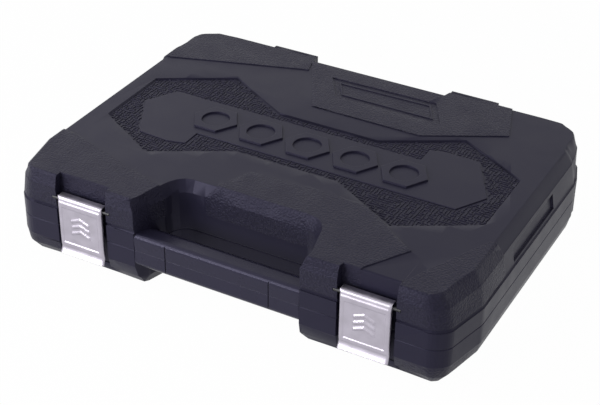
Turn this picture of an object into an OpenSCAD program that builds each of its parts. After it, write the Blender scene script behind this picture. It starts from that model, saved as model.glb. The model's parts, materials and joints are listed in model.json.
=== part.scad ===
// Socket wrench set in a double-walled moulded carrying case.
// Millimetres. +Z is up, +X runs along the front, -Y is the side with the carrying handle.
// The origin is the centre of the footprint, on the surface that the case lies on.

/* [Case] */
// Width of the case along its front
case_w = 390; // [380:1:400]
// Depth of the case from the front wall to the rear wall
case_d = 280; // [276:1:286]
// Height of the closed case over the raised corner pads
case_h = 82; // [80:1:88]
// Height of the line where lid and base meet
part_z = 37.5; // [37:0.5:38]
// Wall thickness of the outer skins
wall = 2.2; // [1.8:0.1:2.6]
// Height of the proud band round the lid's mouth
band_h = 14.5; // [12:0.5:16]
// How far the textured pads stand above the plain skin
pad_rise = 0.8; // [0.4:0.1:1]
// Depth of the sunk two-hexagon panel in the lid
panel_depth = 1.5; // [0.8:0.1:1.6]
// Centre-to-corner radius of each hexagon of the sunk panel
panel_hex_r = 72; // [68:1:74]
// Distance between the centres of the two hexagons
panel_pitch = 216; // [210:1:220]

/* [Handle] */
// Width of the finger recess at the front wall
gap_w = 152; // [146:1:156]
// Depth of the finger recess from the front wall
gap_d = 47; // [44:1:48]
// Depth of the carrying bar from front to rear
bar_d = 25; // [22:1:26]
// Height of each half of the carrying bar above and below the parting line
bar_half_h = 14.5; // [12:0.5:14.5]
// Distance between neighbouring finger ribs on the bar
rib_pitch = 4.8; // [4:0.1:6]

/* [Latches] */
// Distance from the middle of the case to the middle of each latch
latch_x = 123.4; // [120:0.1:125]
// Width of the pocket that each latch sits in
latch_pocket_w = 46.7; // [46:0.1:48]
// Depth of the latch pocket behind the front wall
latch_pocket_d = 8; // [7.5:0.1:9]
// Width of the latch plate
latch_w = 41; // [38:0.5:41.5]
// Height of the latch plate
latch_h = 51.5; // [48:0.5:52]
// Sheet thickness of the latch plate
latch_t = 1.2; // [0.8:0.1:1.4]
// Radius of the latch pivot pin
latch_pin_r = 1.5; // [1.2:0.1:1.8]

/* [Lid hinge] */
// Radius of the hinge knuckles
knuckle_r = 3.5; // [3.2:0.1:3.6]
// Radius of the two hinge pins
hinge_pin_r = 1.25; // [1:0.05:1.5]

/* [Tools] */
// Across-flats size of the large square drive
drive_l = 12.7; // [12.7:0.1:12.7]
// Across-flats size of the small square drive
drive_s = 6.35; // [6.3:0.05:6.35]
// Length of the large ratchet
ratchet_l_len = 250; // [240:1:250]
// Length of the small ratchet
ratchet_s_len = 145; // [135:1:145]
// Length of the long extension bar
ext_xl_len = 250; // [200:1:250]
// Clearance between a tool and the sides of its pocket
seat_gap = 0.5; // [0.3:0.1:0.6]

/* [Hidden] */

eps = 0.02;
shell_color = "#22232b";
tray_color = "#2b2c33";
steel_color = "#b9bcc2";
grip_color = "#17181c";
nickel_color = "#c9c6be";

// Levels of the case
top_z = case_h - pad_rise;
band_z = part_z + band_h;
deck_z = part_z - 2;
deck_t = 2;
liner_z = 60;
liner_t = 1.8;
hx = case_w / 2;
hy = case_d / 2;

// ---- plan outlines -------------------------------------------------------

function unit(v) = v / norm(v);

// Points of the arc that rounds corner b between neighbours a and c.
function corner_arc(a, b, c, r, n) =
    let (u = unit(a - b), v = unit(c - b), half = acos(u * v) / 2,
         centre = b + unit(u + v) * r / sin(half),
         p = b + u * r / tan(half), q = b + v * r / tan(half),
         start = atan2(p[1] - centre[1], p[0] - centre[0]),
         stop = atan2(q[1] - centre[1], q[0] - centre[0]),
         turn = (stop - start + 540) % 360 - 180)
    [for (i = [0 : n]) centre + r * [cos(start + turn * i / n), sin(start + turn * i / n)]];

// Outline pts with corner i rounded to radius r[i]; a radius of 0 keeps the corner.
function rounded(pts, r, n = 4) =
    let (k = len(pts))
    [for (i = [0 : k - 1])
        each (r[i] <= 0 ? [pts[i]] : corner_arc(pts[(i + k - 1) % k], pts[i], pts[(i + 1) % k], r[i], n))];

// Anticlockwise outline moved inwards by d, or outwards where d is negative.
function inset(pts, d) =
    let (k = len(pts))
    [for (i = [0 : k - 1])
        let (a = unit(pts[i] - pts[(i + k - 1) % k]), b = unit(pts[(i + 1) % k] - pts[i]),
             na = [-a[1], a[0]], nb = [-b[1], b[0]])
        pts[i] + d * (na + nb) / (1 + na * nb)];

function mirrored(pts) =
    concat(pts, [for (i = [len(pts) - 1 : -1 : 0]) [-pts[i][0], pts[i][1]]]);

// Right-hand half of the case outline: blunt front and rear corners, each a round and a chamfer.
case_half = [[hx - 21, -hy], [hx - 11, 9 - hy], [hx, 45 - hy],
    [hx, hy - 42], [hx - 12, hy - 13], [hx - 27, hy]];
case_corner_r = [14, 14, 20, 20, 14, 14];
function case_outline(d) =
    rounded(inset(mirrored(case_half), d),
        [for (r = concat(case_corner_r, [for (i = [5 : -1 : 0]) case_corner_r[i]])) max(r - d, 3)]);

module case_plate(d, z0, z1) {
    translate([0, 0, z0]) linear_extrude(z1 - z0) polygon(case_outline(d));
}

// Finger recess in plan: d moves its walls outwards.
gap_half = gap_w / 2;
gap_back = gap_d - hy;
gap_corner = 17;
function gap_outline(d) =
    rounded([[-gap_half - d, -hy - 5], [gap_half + d, -hy - 5], [gap_half - 3 + d, 14 - hy],
             [gap_half - 8 + d, 30 - hy], [gap_half - 9 + d, gap_back + d],
             [9 - gap_half - d, gap_back + d], [8 - gap_half - d, 30 - hy], [3 - gap_half - d, 14 - hy]],
        [0, 0, 12, 0, gap_corner + d, gap_corner + d, 0, 12]);

// ---- case skins ----------------------------------------------------------

// Inset and height of the rings that round the lid's top edge, and the base's bottom edge.
lid_rings = [[1.2, top_z - 11], [3.4, top_z - 5.6], [6.6, top_z - 1.6], [9.4, top_z]];
base_rings = [[0, 22], [4.6, 12], [12.6, 2.8], [18, 0]];

// Convex body through rings; grow swells it on every side.
module ringed_body(rings, grow, up) {
    hull() for (r = rings)
        translate([0, 0, r[1] + up * grow - (up > 0 ? eps : 0)])
            linear_extrude(eps) polygon(case_outline(r[0] - grow));
}

module lid_form(grow) {
    case_plate(1.2 - grow, band_z - 1, lid_rings[0][1] + 1);
    ringed_body(lid_rings, grow, 1);
}

module base_form(grow) {
    case_plate(-grow, base_rings[0][1] - 0.5, part_z);
    ringed_body(base_rings, grow, -1);
}

// Everything that the latch pockets and the finger recess take out of the case, walls moved by d.
module front_cuts(d, z0, z1) {
    translate([0, 0, z0]) linear_extrude(z1 - z0) polygon(gap_outline(d));
    for (s = [-1, 1])
        translate([s * latch_x - latch_pocket_w / 2 - d, -hy - 5, z0])
            cube([latch_pocket_w + 2 * d, latch_pocket_d + 5 + d, z1 - z0]);
}

// Sloping lead-in round the finger recess at the lid's top edge.
gap_bevel_w = 8;
gap_bevel_h = 10;
module gap_bevel(d) {
    hull() {
        translate([0, 0, top_z - gap_bevel_h - d / 2]) linear_extrude(eps) polygon(gap_outline(d * 1.28));
        translate([0, 0, top_z + 1]) linear_extrude(eps) polygon(gap_outline(gap_bevel_w * 1.1 + d * 1.28));
    }
}

// The same at the base's bottom edge.
foot_bevel_h = 9;
module foot_bevel(d) {
    hull() {
        translate([0, 0, foot_bevel_h + d / 2]) linear_extrude(eps) polygon(gap_outline(d * 1.28));
        translate([0, 0, -1]) linear_extrude(eps) polygon(gap_outline(foot_bevel_h + d * 1.28));
    }
}

// Shallow grip groove along each side wall of the lid.
groove_d = 2;
module side_grooves(d) {
    for (s = [-1, 1])
        translate([s > 0 ? hx - 1.2 - groove_d - d : -hx - 3, -34 - d, band_z + 3 - d])
            cube([4.2 + groove_d + d, 84 + 2 * d, 13 + 2 * d]);
}

// Sunk panel: two hexagons joined by a neck.
neck_half = panel_hex_r / 2;
function panel_outline(d) =
    let (r = panel_hex_r + d * 2 / sqrt(3), w = r * cos(30), c = panel_pitch / 2, n = neck_half + d,
         reach = w - (n - r / 2) * sqrt(3))
    [[-c + reach, -n], [c - reach, -n], [c, -r], [c + w, -r / 2], [c + w, r / 2], [c, r],
     [c - reach, n], [-c + reach, n], [-c, r], [-c - w, r / 2], [-c - w, -r / 2], [-c, -r]];

// Plain raised band inside the panel, and the level islands in its hexagons.
function panel_band(s) =
    [[s * 30, 19], [s * 72, 19], [s * 84, 38], [s * 130, 38], [s * 146, 12],
     [s * 146, -22], [s * 128, -40], [s * 96, -40], [s * 78, -19], [s * 30, -19]];

// Raised pads of the lid in plan. The left and right front corners differ, as do the rear ones.
pads = [
    [[-hx - 2, -76], [-178, -76], [-70, -110.5], [-60, -hy - 2], [-hx - 2, -hy - 2]],
    [[-31, -86], [-19, -58], [56, -55], [83, -58], [132, -92], [136, -94], [115, -129], [114, -hy - 2],
     [-66, -hy - 2], [-62, -96]],
    [[146, -hy - 2], [146, -130], [183, -55], [hx + 2, -52], [hx + 2, -hy - 2]],
    [[-hx - 2, 76], [-182, 76], [-61, 115.5], [-69, hy + 2], [-hx - 2, hy + 2]],
    [[-66, 131], [-28, 59.5], [72, 59], [136, 94.5], [133, 103.5], [117, hy + 2], [-60, hy + 2]]];

// Sunk label field in the rear pad.
label_outline = [[-36, 113], [-18, 84], [79, 84], [62, 115]];
label_depth = 1.6;

module lid_top_relief() {
    difference() {
        intersection() {
            lid_form(pad_rise);
            translate([0, 0, band_z + 3]) linear_extrude(case_h)
                for (p = pads) polygon(p);
        }
        translate([0, 0, case_h - label_depth]) linear_extrude(5) polygon(label_outline);
    }
}

// Row of five raised ring-and-hexagon motifs on the plain band.
motif_pitch = 30;
motif_r = 11.5;
module panel_motifs() {
    for (i = [-2 : 2])
        translate([i * motif_pitch, 0, top_z - panel_depth - eps])
            difference() {
                cylinder(r = motif_r, h = panel_depth + pad_rise + eps, $fn = 6);
                translate([0, 0, -1]) cylinder(r = motif_r * 0.58, h = 5, $fn = 32);
            }
}

module panel_islands() {
    translate([0, 0, top_z - panel_depth - eps]) linear_extrude(0.8 + eps)
        union() {
            for (s = [-1, 1]) polygon(panel_band(s));
            polygon([[-32, -19], [32, -19], [32, 19], [-32, 19]]);
        }
}

// ---- hinge ---------------------------------------------------------------

hinge_y = hy + 0.5;
boss_y = hy + 4;
hinge_spans = [[-110, -67], [64, 107]];
knuckle_n = 5;
knuckle_gap = 0.4;
boss_clear = 6;

module x_cylinder(r, x0, x1, y, z, fn = 48) {
    translate([x0, y, z]) rotate([0, 90, 0]) cylinder(r = r, h = x1 - x0, $fn = fn);
}

// Knuckles number first, first + 2, ... of both hinges, each with a web to its own half of the case.
module knuckles(first, dir) {
    for (span = hinge_spans, k = [first : 2 : knuckle_n - 1]) {
        pitch = (span[1] - span[0]) / knuckle_n;
        x0 = span[0] + k * pitch + knuckle_gap / 2;
        x1 = span[0] + (k + 1) * pitch - knuckle_gap / 2;
        x_cylinder(knuckle_r, x0, x1, hinge_y, part_z);
        translate([x0, hy - wall, dir > 0 ? part_z + 1 : part_z - 8])
            cube([x1 - x0, hinge_y - hy + wall + 1.5, 7]);
    }
}

// Room for the knuckles of the other half.
module knuckle_room(first, dir) {
    for (span = hinge_spans, k = [first : 2 : knuckle_n - 1]) {
        pitch = (span[1] - span[0]) / knuckle_n;
        x_cylinder(knuckle_r + 0.4, span[0] + k * pitch, span[0] + (k + 1) * pitch, hinge_y, part_z);
    }
}

module hinge_bosses(z0, z1) {
    for (span = hinge_spans)
        translate([span[0], hy - wall - 0.4, z0]) cube([span[1] - span[0], boss_y - hy + wall + 0.4, z1 - z0]);
}

// ---- latch pivots --------------------------------------------------------

latch_pin_y = -hy + 1.5;
latch_pin_z = case_h - 19.5;
latch_front_y = -hy - 2;
latch_top_z = case_h - 15.5;
latch_range_clear = 0.08;

module latch_bores(r) {
    for (s = [-1, 1])
        x_cylinder(r, s * latch_x - latch_pocket_w / 2 - 3.5, s * latch_x + latch_pocket_w / 2 + 3.5,
            latch_pin_y, latch_pin_z, 32);
}

// ---- case nodes ----------------------------------------------------------

module lid_shell() {
    color(shell_color) difference() {
        union() {
            case_plate(0, part_z, band_z);
            lid_form(0);
            lid_top_relief();
            panel_lining();
            hinge_bosses(part_z + boss_clear, top_z - 4);
            knuckles(1, 1);
            latch_pin_bosses();
        }
        difference() {
            union() {
                case_plate(wall, part_z - 1, band_z + 1);
                case_plate(1.2 + wall, band_z - 1, lid_rings[0][1] - 1);
                translate([0, 0, -wall]) ringed_body([for (r = lid_rings) [r[0] + wall, r[1]]], 0, 1);
            }
            front_cuts(wall, part_z - 2, case_h + 2);
            gap_bevel(wall);
            side_grooves(wall);
            panel_lining();
            hinge_root(part_z);
            latch_pin_bosses();
        }
        front_cuts(0, part_z - 2, case_h + 3);
        gap_bevel(0);
        side_grooves(0);
        translate([0, 0, top_z - panel_depth]) linear_extrude(5) polygon(panel_outline(0));
        knuckle_room(0, 1);
        for (span = hinge_spans)
            x_cylinder(hinge_pin_r + 0.06, span[0] - 1, span[1] + 1, hinge_y, part_z, 32);
        latch_bores(latch_pin_r + 0.05);
    }
    color(shell_color) {
        panel_islands();
        panel_motifs();
    }
}

// Keeps the top skin at full thickness under the sunk panel.
module panel_lining() {
    translate([0, 0, top_z - panel_depth - wall]) linear_extrude(wall) polygon(panel_outline(wall));
}

// Rear wall left thick where the knuckle webs are rooted.
module hinge_root(z) {
    for (span = hinge_spans)
        translate([span[0] - 1, hy - wall - 1.2, z - 9]) cube([span[1] - span[0] + 2, 4, 18]);
}

// Cheeks of the latch pockets, thick round the pivot pin.
module latch_pin_bosses(d = 0) {
    half = 1.9 + d;
    for (s = [-1, 1], e = [-1, 1])
        x_cylinder(4 + d, s * latch_x + e * (latch_pocket_w / 2 + 1.9) - half,
            s * latch_x + e * (latch_pocket_w / 2 + 1.9) + half, latch_pin_y + 3.2, latch_pin_z, 32);
}

module base_shell() {
    color(shell_color) difference() {
        union() {
            base_form(0);
            hinge_bosses(10, part_z - boss_clear);
            knuckles(0, -1);
        }
        difference() {
            union() {
                case_plate(wall, base_rings[0][1], part_z + 1);
                ringed_body([for (r = base_rings) [r[0] + wall, r[1] + wall]], 0, -1);
            }
            front_cuts(wall, -1, part_z + 2);
            foot_bevel(wall);
            hinge_root(part_z);
            catch_ledges(wall);
        }
        foot_bevel(0);
        difference() {
            front_cuts(0, -2, part_z + 2);
            catch_ledges(0);
        }
        knuckle_room(1, -1);
        for (span = hinge_spans)
            x_cylinder(hinge_pin_r + 0.06, span[0] + 1, span[1] + 1, hinge_y, part_z, 32);
    }
}

// Moulded ledge in each latch pocket of the base, which the latch catch hooks under.
ledge_z = part_z - 5;
ledge_h = 3;
ledge_reach = 3.2;
ledge_w = 26;
module catch_ledges(d) {
    for (s = [-1, 1])
        translate([s * latch_x - ledge_w / 2, -hy + latch_pocket_d - ledge_reach, ledge_z - ledge_h])
            cube([ledge_w, ledge_reach + d + eps, ledge_h]);
}

// Half of the carrying bar: dir is 1 for the lid's half and -1 for the base's.
bar_round = 4;
function bar_profile() =
    rounded([[0, 0], [bar_d, 0], [bar_d, bar_half_h * 0.45], [bar_d - 10.5, bar_half_h], [0, bar_half_h]],
        [0, 0, 3, 5, bar_round]);

module handle_half(dir) {
    difference() {
        intersection() {
            translate([-gap_half - 2, -hy, part_z]) mirror([0, 0, dir < 0 ? 1 : 0])
                rotate([90, 0, 90]) linear_extrude(gap_w + 4) polygon(bar_profile());
            translate([0, 0, part_z - 30]) linear_extrude(60) polygon(gap_outline(0));
        }
        // Seams at both ends of the grip
        for (x = [-47, 44])
            translate([x, -hy - 1, part_z - 30]) cube([0.8, 1.7, 60]);
        // Slots between the finger ribs along the rear edge
        for (i = [0 : 13])
            translate([-32 + i * rib_pitch, -hy + bar_d - 8.5, dir > 0 ? part_z + 3 : part_z - 30])
                cube([rib_pitch - 2, 12, dir > 0 ? 30 : 27]);
    }
}

module lid_handle_half() {
    color(shell_color) handle_half(1);
}

module base_handle_half() {
    color(shell_color) handle_half(-1);
}

// Room in the lid's inner skin for the large universal joint to bend.
module joint_bulge(d, z0) {
    translate([uj_l[0] - 2 - d, uj_l[1] - 15 - d, z0]) cube([44 + 2 * d, 30 + 2 * d, part_z + 32 + d - z0]);
}

// Inner skin of the lid, in two pieces that meet: a shallow roof over the tools, and the wall with the
// rim that carries it on the outer skin.
liner_side = 3;
liner_rim_z = part_z + 1;
liner_free = 0.1;
module liner_cuts() {
    front_cuts(wall, part_z - 1, case_h);
    hinge_root(part_z);
    side_grooves(wall + liner_free);
    latch_pin_bosses(liner_free);
}

module lid_liner() {
    color(tray_color) difference() {
        union() {
            case_plate(wall + liner_side, liner_z, liner_z + liner_t);
            joint_bulge(liner_t, liner_z);
        }
        joint_bulge(0, liner_z - 1);
        liner_cuts();
    }
}

module lid_liner_rim() {
    color(tray_color) difference() {
        union() {
            case_plate(wall, liner_rim_z, liner_rim_z + liner_t);
            case_plate(wall + liner_side, liner_rim_z, liner_z);
        }
        difference() {
            case_plate(wall + liner_side + liner_t, liner_rim_z - 1, liner_z + 1);
            front_cuts(wall + liner_t + 1, liner_rim_z - 2, case_h);
        }
        liner_cuts();
    }
}

module hinge_pins() {
    color(steel_color)
        for (span = hinge_spans) x_cylinder(hinge_pin_r, span[0] + 1, span[1] - 0.5, hinge_y, part_z, 32);
}

// ---- latch ---------------------------------------------------------------

// Stamped plate: roof flange, front and flared lip as one bent profile in y and z, then side walls.
module latch_plate(s) {
    bottom = latch_top_z - latch_h;
    y0 = latch_front_y;
    outer = rounded([[y0 + 7, latch_top_z], [y0, latch_top_z], [y0, bottom + 7], [y0 - 2, bottom],
        [y0 - 0.9, bottom - 0.001], [y0 + latch_t, bottom + 6.6], [y0 + latch_t, latch_top_z - latch_t],
        [y0 + 7, latch_top_z - latch_t]], [0, 2.4, 8, 0, 0, 8, 1.2, 0]);
    difference() {
        union() {
            translate([s * latch_x - latch_w / 2, 0, 0]) rotate([90, 0, 90]) linear_extrude(latch_w)
                polygon(outer);
            // Turned-back side walls, deeper at the top where they carry the pivot
            for (e = [0, 1])
                translate([s * latch_x - latch_w / 2 + e * (latch_w - latch_t), 0, 0]) rotate([90, 0, 90])
                    linear_extrude(latch_t) polygon([[y0 + 0.6, latch_top_z - 1.4], [y0 + 6.6, latch_top_z - 1.4],
                        [y0 + 6.6, latch_top_z - 8], [y0 + 3, latch_top_z - 12], [y0 + 3, bottom + 12],
                        [y0 + 0.9, bottom + 8]]);
        }
        x_cylinder(latch_pin_r + latch_range_clear, s * latch_x - latch_w, s * latch_x + latch_w,
            latch_pin_y, latch_pin_z, 32);
    }
    // Three chevrons pressed outwards
    for (i = [0 : 2])
        translate([s * latch_x, y0 + 0.3, latch_top_z - 17 - i * 5.5]) rotate([90, 0, 0])
            linear_extrude(0.8) polygon([[-9, -3.2], [0, 1.6], [9, -3.2], [9, -0.6], [0, 4.2], [-9, -0.6]]);
}

module latch_plate_left() {
    color(nickel_color) latch_plate(-1);
}

module latch_plate_right() {
    color(nickel_color) latch_plate(1);
}

// Spring-steel catch behind the plate; its nose lies under the base's ledge when the latch is shut.
catch_w = 24;
module latch_catch(s) {
    y_back = latch_front_y + latch_t;
    foot_z = ledge_z - ledge_h - 1.6;
    ledge_front = -hy + latch_pocket_d - ledge_reach;
    translate([s * latch_x - catch_w / 2, 0, 0]) rotate([90, 0, 90]) linear_extrude(catch_w)
        polygon([[y_back, 52], [y_back + 1, 52], [y_back + 1, 43], [ledge_front - 0.5, 39.5],
            [ledge_front - 0.5, foot_z], [ledge_front - 1.5, foot_z], [ledge_front - 1.5, 39],
            [y_back, 42]]);
}

module latch_catch_left() {
    color(steel_color) latch_catch(-1);
}

module latch_catch_right() {
    color(steel_color) latch_catch(1);
}

module latch_pin(s) {
    x_cylinder(latch_pin_r, s * latch_x - latch_pocket_w / 2 - 3.2, s * latch_x + latch_pocket_w / 2 + 3.2,
        latch_pin_y, latch_pin_z, 32);
}

module latch_pin_left() {
    color(steel_color) latch_pin(-1);
}

module latch_pin_right() {
    color(steel_color) latch_pin(1);
}

// ---- sockets -------------------------------------------------------------

// Outside diameter and length that go with a socket's across-flats size.
function half_od(s) = max(22, 1.25 * s + 2);
function half_len(s) = s <= 24 ? 38 : 38 + (s - 24) * 0.75;
function quarter_od(s) = max(12, 1.3 * s + 1.5);

// Height of the axis of a tool of diameter d that lies in a pocket of the tray.
function lie_z(d) = deck_z - 0.1 * d;

// Sum of the first i widths of a row, with a gap after each.
function run_up(widths, i, gap) = i <= 0 ? 0 : widths[i - 1] + gap + run_up(widths, i - 1, gap);

// Standing socket: chamfered body, nut opening at the top, square drive below.
module socket(af, od, len, drive, star = false) {
    across = af / cos(30);
    difference() {
        rotate_extrude($fn = 48) polygon([[0, 0], [od / 2 - 1, 0], [od / 2, 1], [od / 2, len * 0.3],
            [od / 2 - 0.5, len * 0.33], [od / 2 - 0.5, len * 0.39], [od / 2, len * 0.42],
            [od / 2, len - 0.8], [od / 2 - 0.8, len], [0, len]]);
        translate([0, 0, len * 0.5]) {
            if (star) {
                for (a = [0, 60]) rotate([0, 0, a]) cylinder(r = af * 0.62, h = len, $fn = 3);
            } else {
                cylinder(r = across / 2, h = len, $fn = 6);
            }
        }
        translate([-drive / 2 - 0.05, -drive / 2 - 0.05, -1]) cube([drive + 0.1, drive + 0.1, len * 0.42 + 1]);
        translate([0, 0, len * 0.2]) cylinder(r = min(af, drive) * 0.32, h = len, $fn = 24);
    }
}

// Sockets lying side by side along X with their drive ends at y0.
module socket_row(sizes, ods, lens, drive, x0, y0, gap, star = false) {
    for (i = [0 : len(sizes) - 1])
        translate([x0 + run_up(ods, i, gap) + ods[i] / 2, y0, lie_z(ods[i])])
            rotate([-90, 0, 0]) socket(sizes[i], ods[i], lens[i], drive, star);
}

// Troughs for such a row; the round bottom touches each socket along a line.
module row_troughs(ods, lens, x0, y0, gap) {
    for (i = [0 : len(ods) - 1])
        trough_y(x0 + run_up(ods, i, gap) + ods[i] / 2, y0, lens[i], ods[i]);
}

// Cross-section of a trough with its axis at the origin: flat facets that touch a circle of radius r
// from outside, one of them at the very bottom, and straight sides above.
trough_facets = 11;
function trough_section(r) =
    let (step = 180 / trough_facets, reach = r / cos(step / 2))
    concat([for (i = [0 : trough_facets]) reach * [cos(180 + i * step), sin(180 + i * step)]],
        [[reach, 30], [-reach, 30]]);

module trough_y(x, y0, len, od) {
    translate([x, y0 + len + seat_gap, lie_z(od) + seat_gap]) rotate([90, 0, 0])
        linear_extrude(len + 2 * seat_gap) polygon(trough_section(od / 2 + seat_gap));
}

module trough_x(x0, len, y, od, z_axis) {
    translate([x0 - seat_gap, y, z_axis + seat_gap]) rotate([90, 0, 90])
        linear_extrude(len + 2 * seat_gap) polygon(trough_section(od / 2 + seat_gap));
}

big_sizes = [32, 30, 27, 24, 23, 22, 21, 20, 19, 18];
big_ods = [for (s = big_sizes) half_od(s)];
big_lens = [for (s = big_sizes) half_len(s)];
big_at = [-180, 19];
mid_sizes = [17, 16, 15, 14, 13, 12, 11, 10];
mid_ods = [for (s = mid_sizes) half_od(s)];
mid_lens = [for (s = mid_sizes) half_len(s)];
mid_at = [-180, -21];
row_gap = 3;
small_gap = 2.4;
small_len = 25;
q1_sizes = [8, 9, 10, 11, 12];
q2_sizes = [13, 14];
q3_sizes = [4, 4.5, 5, 5.5, 6, 7];
function quarter_ods(sizes) = [for (s = sizes) quarter_od(s)];
function even(sizes, v) = [for (s = sizes) v];
q1_at = [-180, -50];
q2_at = [-180, -77.5];
q3_at = [-180, -105];
star_sizes = [4, 5, 6, 7, 8];
star_at = [92, -50];

module half_inch_sockets_18_to_32() {
    color(steel_color) socket_row(big_sizes, big_ods, big_lens, drive_l, big_at[0], big_at[1], row_gap);
}

module half_inch_sockets_10_to_17() {
    color(steel_color) socket_row(mid_sizes, mid_ods, mid_lens, drive_l, mid_at[0], mid_at[1], row_gap);
}

module small_row(sizes, at, star = false) {
    color(steel_color) socket_row(sizes, star ? even(sizes, 12) : quarter_ods(sizes), even(sizes, small_len),
        drive_s, at[0], at[1], small_gap, star);
}

module quarter_inch_sockets_8_to_12() {
    small_row(q1_sizes, q1_at);
}

module quarter_inch_sockets_13_14() {
    small_row(q2_sizes, q2_at);
}

module quarter_inch_sockets_4_to_7() {
    small_row(q3_sizes, q3_at);
}

module star_sockets_e4_to_e8() {
    small_row(star_sizes, star_at, true);
}

// Deep sockets stand upright in two rows.
deep_len = 50;
deep_floor = 6.5;
deep_rear = [10, 11, 12, 13];
deep_front = [6, 7, 8, 9];
deep_x = 91;
deep_rear_y = -63;
deep_front_y = -81;
function deep_row_x(sizes, i) =
    deep_x + run_up(quarter_ods(sizes), i, small_gap) + quarter_od(sizes[i]) / 2;

module each_deep(sizes, y) {
    for (i = [0 : len(sizes) - 1])
        translate([deep_row_x(sizes, i), y, deep_floor]) {
            $od = quarter_od(sizes[i]);
            $af = sizes[i];
            children();
        }
}

module deep_sockets_6_to_13() {
    color(steel_color) {
        each_deep(deep_rear, deep_rear_y) socket($af, $od, deep_len, drive_s);
        each_deep(deep_front, deep_front_y) socket($af, $od, deep_len, drive_s);
    }
}

// Bit sockets: seventeen short drives with a fixed bit, standing in three rows.
bit_pitch = 13.6;
bit_floor = 14;
bit_at = [[94.5, -94.8, 6], [94.5, -108.2, 6], [94.5, -121.6, 5]];
bit_body_h = 16;
bit_len = 37;

// Tip of a bit of radius r: style 0 hexagon, 1 cross, 2 flat blade, 3 star.
module bit_tip(style, r, h) {
    if (style == 0) cylinder(r = r * 0.8, h = h, $fn = 6);
    if (style == 1) for (a = [0, 90]) rotate([0, 0, a]) translate([-r * 0.8, -r * 0.22, 0]) cube([r * 1.6, r * 0.44, h]);
    if (style == 2) translate([-r * 0.95, -r * 0.22, 0]) cube([r * 1.9, r * 0.44, h]);
    if (style == 3) for (a = [0, 60]) rotate([0, 0, a]) cylinder(r = r * 0.8, h = h, $fn = 3);
}

module each_bit_place() {
    for (row = bit_at, i = [0 : row[2] - 1])
        translate([row[0] + i * bit_pitch, row[1], bit_floor]) {
            $style = floor((row[1] + 130) / 9 + i * 0.5) % 4;
            children();
        }
}

module bit_sockets() {
    color(steel_color) each_bit_place() {
        difference() {
            rotate_extrude($fn = 36) polygon([[0, 0], [5.2, 0], [6, 0.8], [6, bit_body_h - 2],
                [4, bit_body_h], [0, bit_body_h]]);
            translate([-drive_s / 2, -drive_s / 2, -1]) cube([drive_s, drive_s, 8]);
        }
        translate([0, 0, bit_body_h - 0.5]) cylinder(r = 3.4, h = bit_len - bit_body_h - 8, $fn = 6);
        translate([0, 0, bit_len - 9]) bit_tip($style, 3.4, 9);
    }
}

// Loose 8 mm hexagon bits, standing in two rows of eight.
loose_pitch = 10.8;
loose_x = -170;
loose_y = [-112.2, -123];
loose_floor = 16;
loose_len = 30;
module each_loose_place() {
    for (r = [0, 1], i = [0 : 7])
        translate([loose_x + i * loose_pitch, loose_y[r], loose_floor]) {
            $style = (i + 2 * r) % 4;
            children();
        }
}

module screwdriver_bits_8mm() {
    color(steel_color) each_loose_place() {
        cylinder(r = 8 / 2 / cos(30), h = loose_len - 11, $fn = 6);
        translate([0, 0, loose_len - 11.5]) cylinder(r = 3.2, h = 3, $fn = 24);
        translate([0, 0, loose_len - 9]) bit_tip($style, 3.8, 9);
    }
}

// ---- drive tools ---------------------------------------------------------

spark16 = [164, 59.5, 65, 22];
spark21 = [76, 88, 65, 28];

module spark_plug_socket_16() {
    color(steel_color) translate([spark16[0], spark16[1], lie_z(spark16[3])]) rotate([-90, 0, 0])
        socket(16, spark16[3], spark16[2], drive_l);
}

module spark_plug_socket_21() {
    color(steel_color) translate([spark21[0], spark21[1], lie_z(spark21[3])]) rotate([0, 90, 0])
        socket(21, spark21[3], spark21[2], drive_l);
}

holder_at = [166, -21, 38, 22];
module bit_holder() {
    color(steel_color) translate([holder_at[0], holder_at[1], lie_z(holder_at[3])]) rotate([-90, 0, 0])
        socket(8, holder_at[3], holder_at[2], drive_l);
}

// Square drive tang of size a along +Z, with its locking ball.
module tang(a, h) {
    intersection() {
        translate([-a / 2, -a / 2, 0]) cube([a, a, h]);
        cylinder(r = a * 0.64, h = h, $fn = 48);
    }
    translate([a / 2 - a * 0.08, 0, h * 0.55]) sphere(r = a * 0.16, $fn = 24);
}

adapter_at = [172, -37];
adapter_floor = 13;
module drive_adapter() {
    color(steel_color) translate([adapter_at[0], adapter_at[1], adapter_floor]) {
        difference() {
            rotate_extrude($fn = 48) polygon([[0, 0], [10, 0], [11, 1], [11, 18], [8.6, 21], [0, 21]]);
            translate([-4.8, -4.8, -1]) cube([9.6, 9.6, 12]);
        }
        translate([0, 0, 20.5]) tang(drive_l, 15);
    }
}

// Extension bar along +X: socket end first, tang last.
module extension(length, end_d, shaft_d, drive) {
    tang_h = drive * 1.2;
    rotate([0, 90, 0]) {
        difference() {
            rotate_extrude($fn = 48) polygon([[0, 0], [end_d / 2 - 1, 0], [end_d / 2, 1],
                [end_d / 2, drive * 1.7], [shaft_d / 2, drive * 2.3], [shaft_d / 2, length - drive * 2.2],
                [drive * 0.64, length - drive * 1.9], [drive * 0.64, length - tang_h],
                [0, length - tang_h]]);
            translate([-drive / 2 - 0.05, -drive / 2 - 0.05, -1])
                cube([drive + 0.1, drive + 0.1, drive * 1.3 + 1]);
        }
        translate([0, 0, length - tang_h - eps]) tang(drive, tang_h);
    }
}

// x0, y, length, end diameter, shaft diameter and drive of each bar.
ext_xl = [-182, 79, ext_xl_len, 23, 12.6, drive_l];
ext_l = [25, -9, 125, 23, 12.6, drive_l];
ext_m = [25, 11, 100, 12.5, 7.6, drive_s];
ext_s = [76, 66.6, 50, 12.5, 7.6, drive_s];
module extension_at(e) {
    color(steel_color) translate([e[0], e[1], lie_z(e[3])]) extension(e[2], e[3], e[4], e[5]);
}

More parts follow.
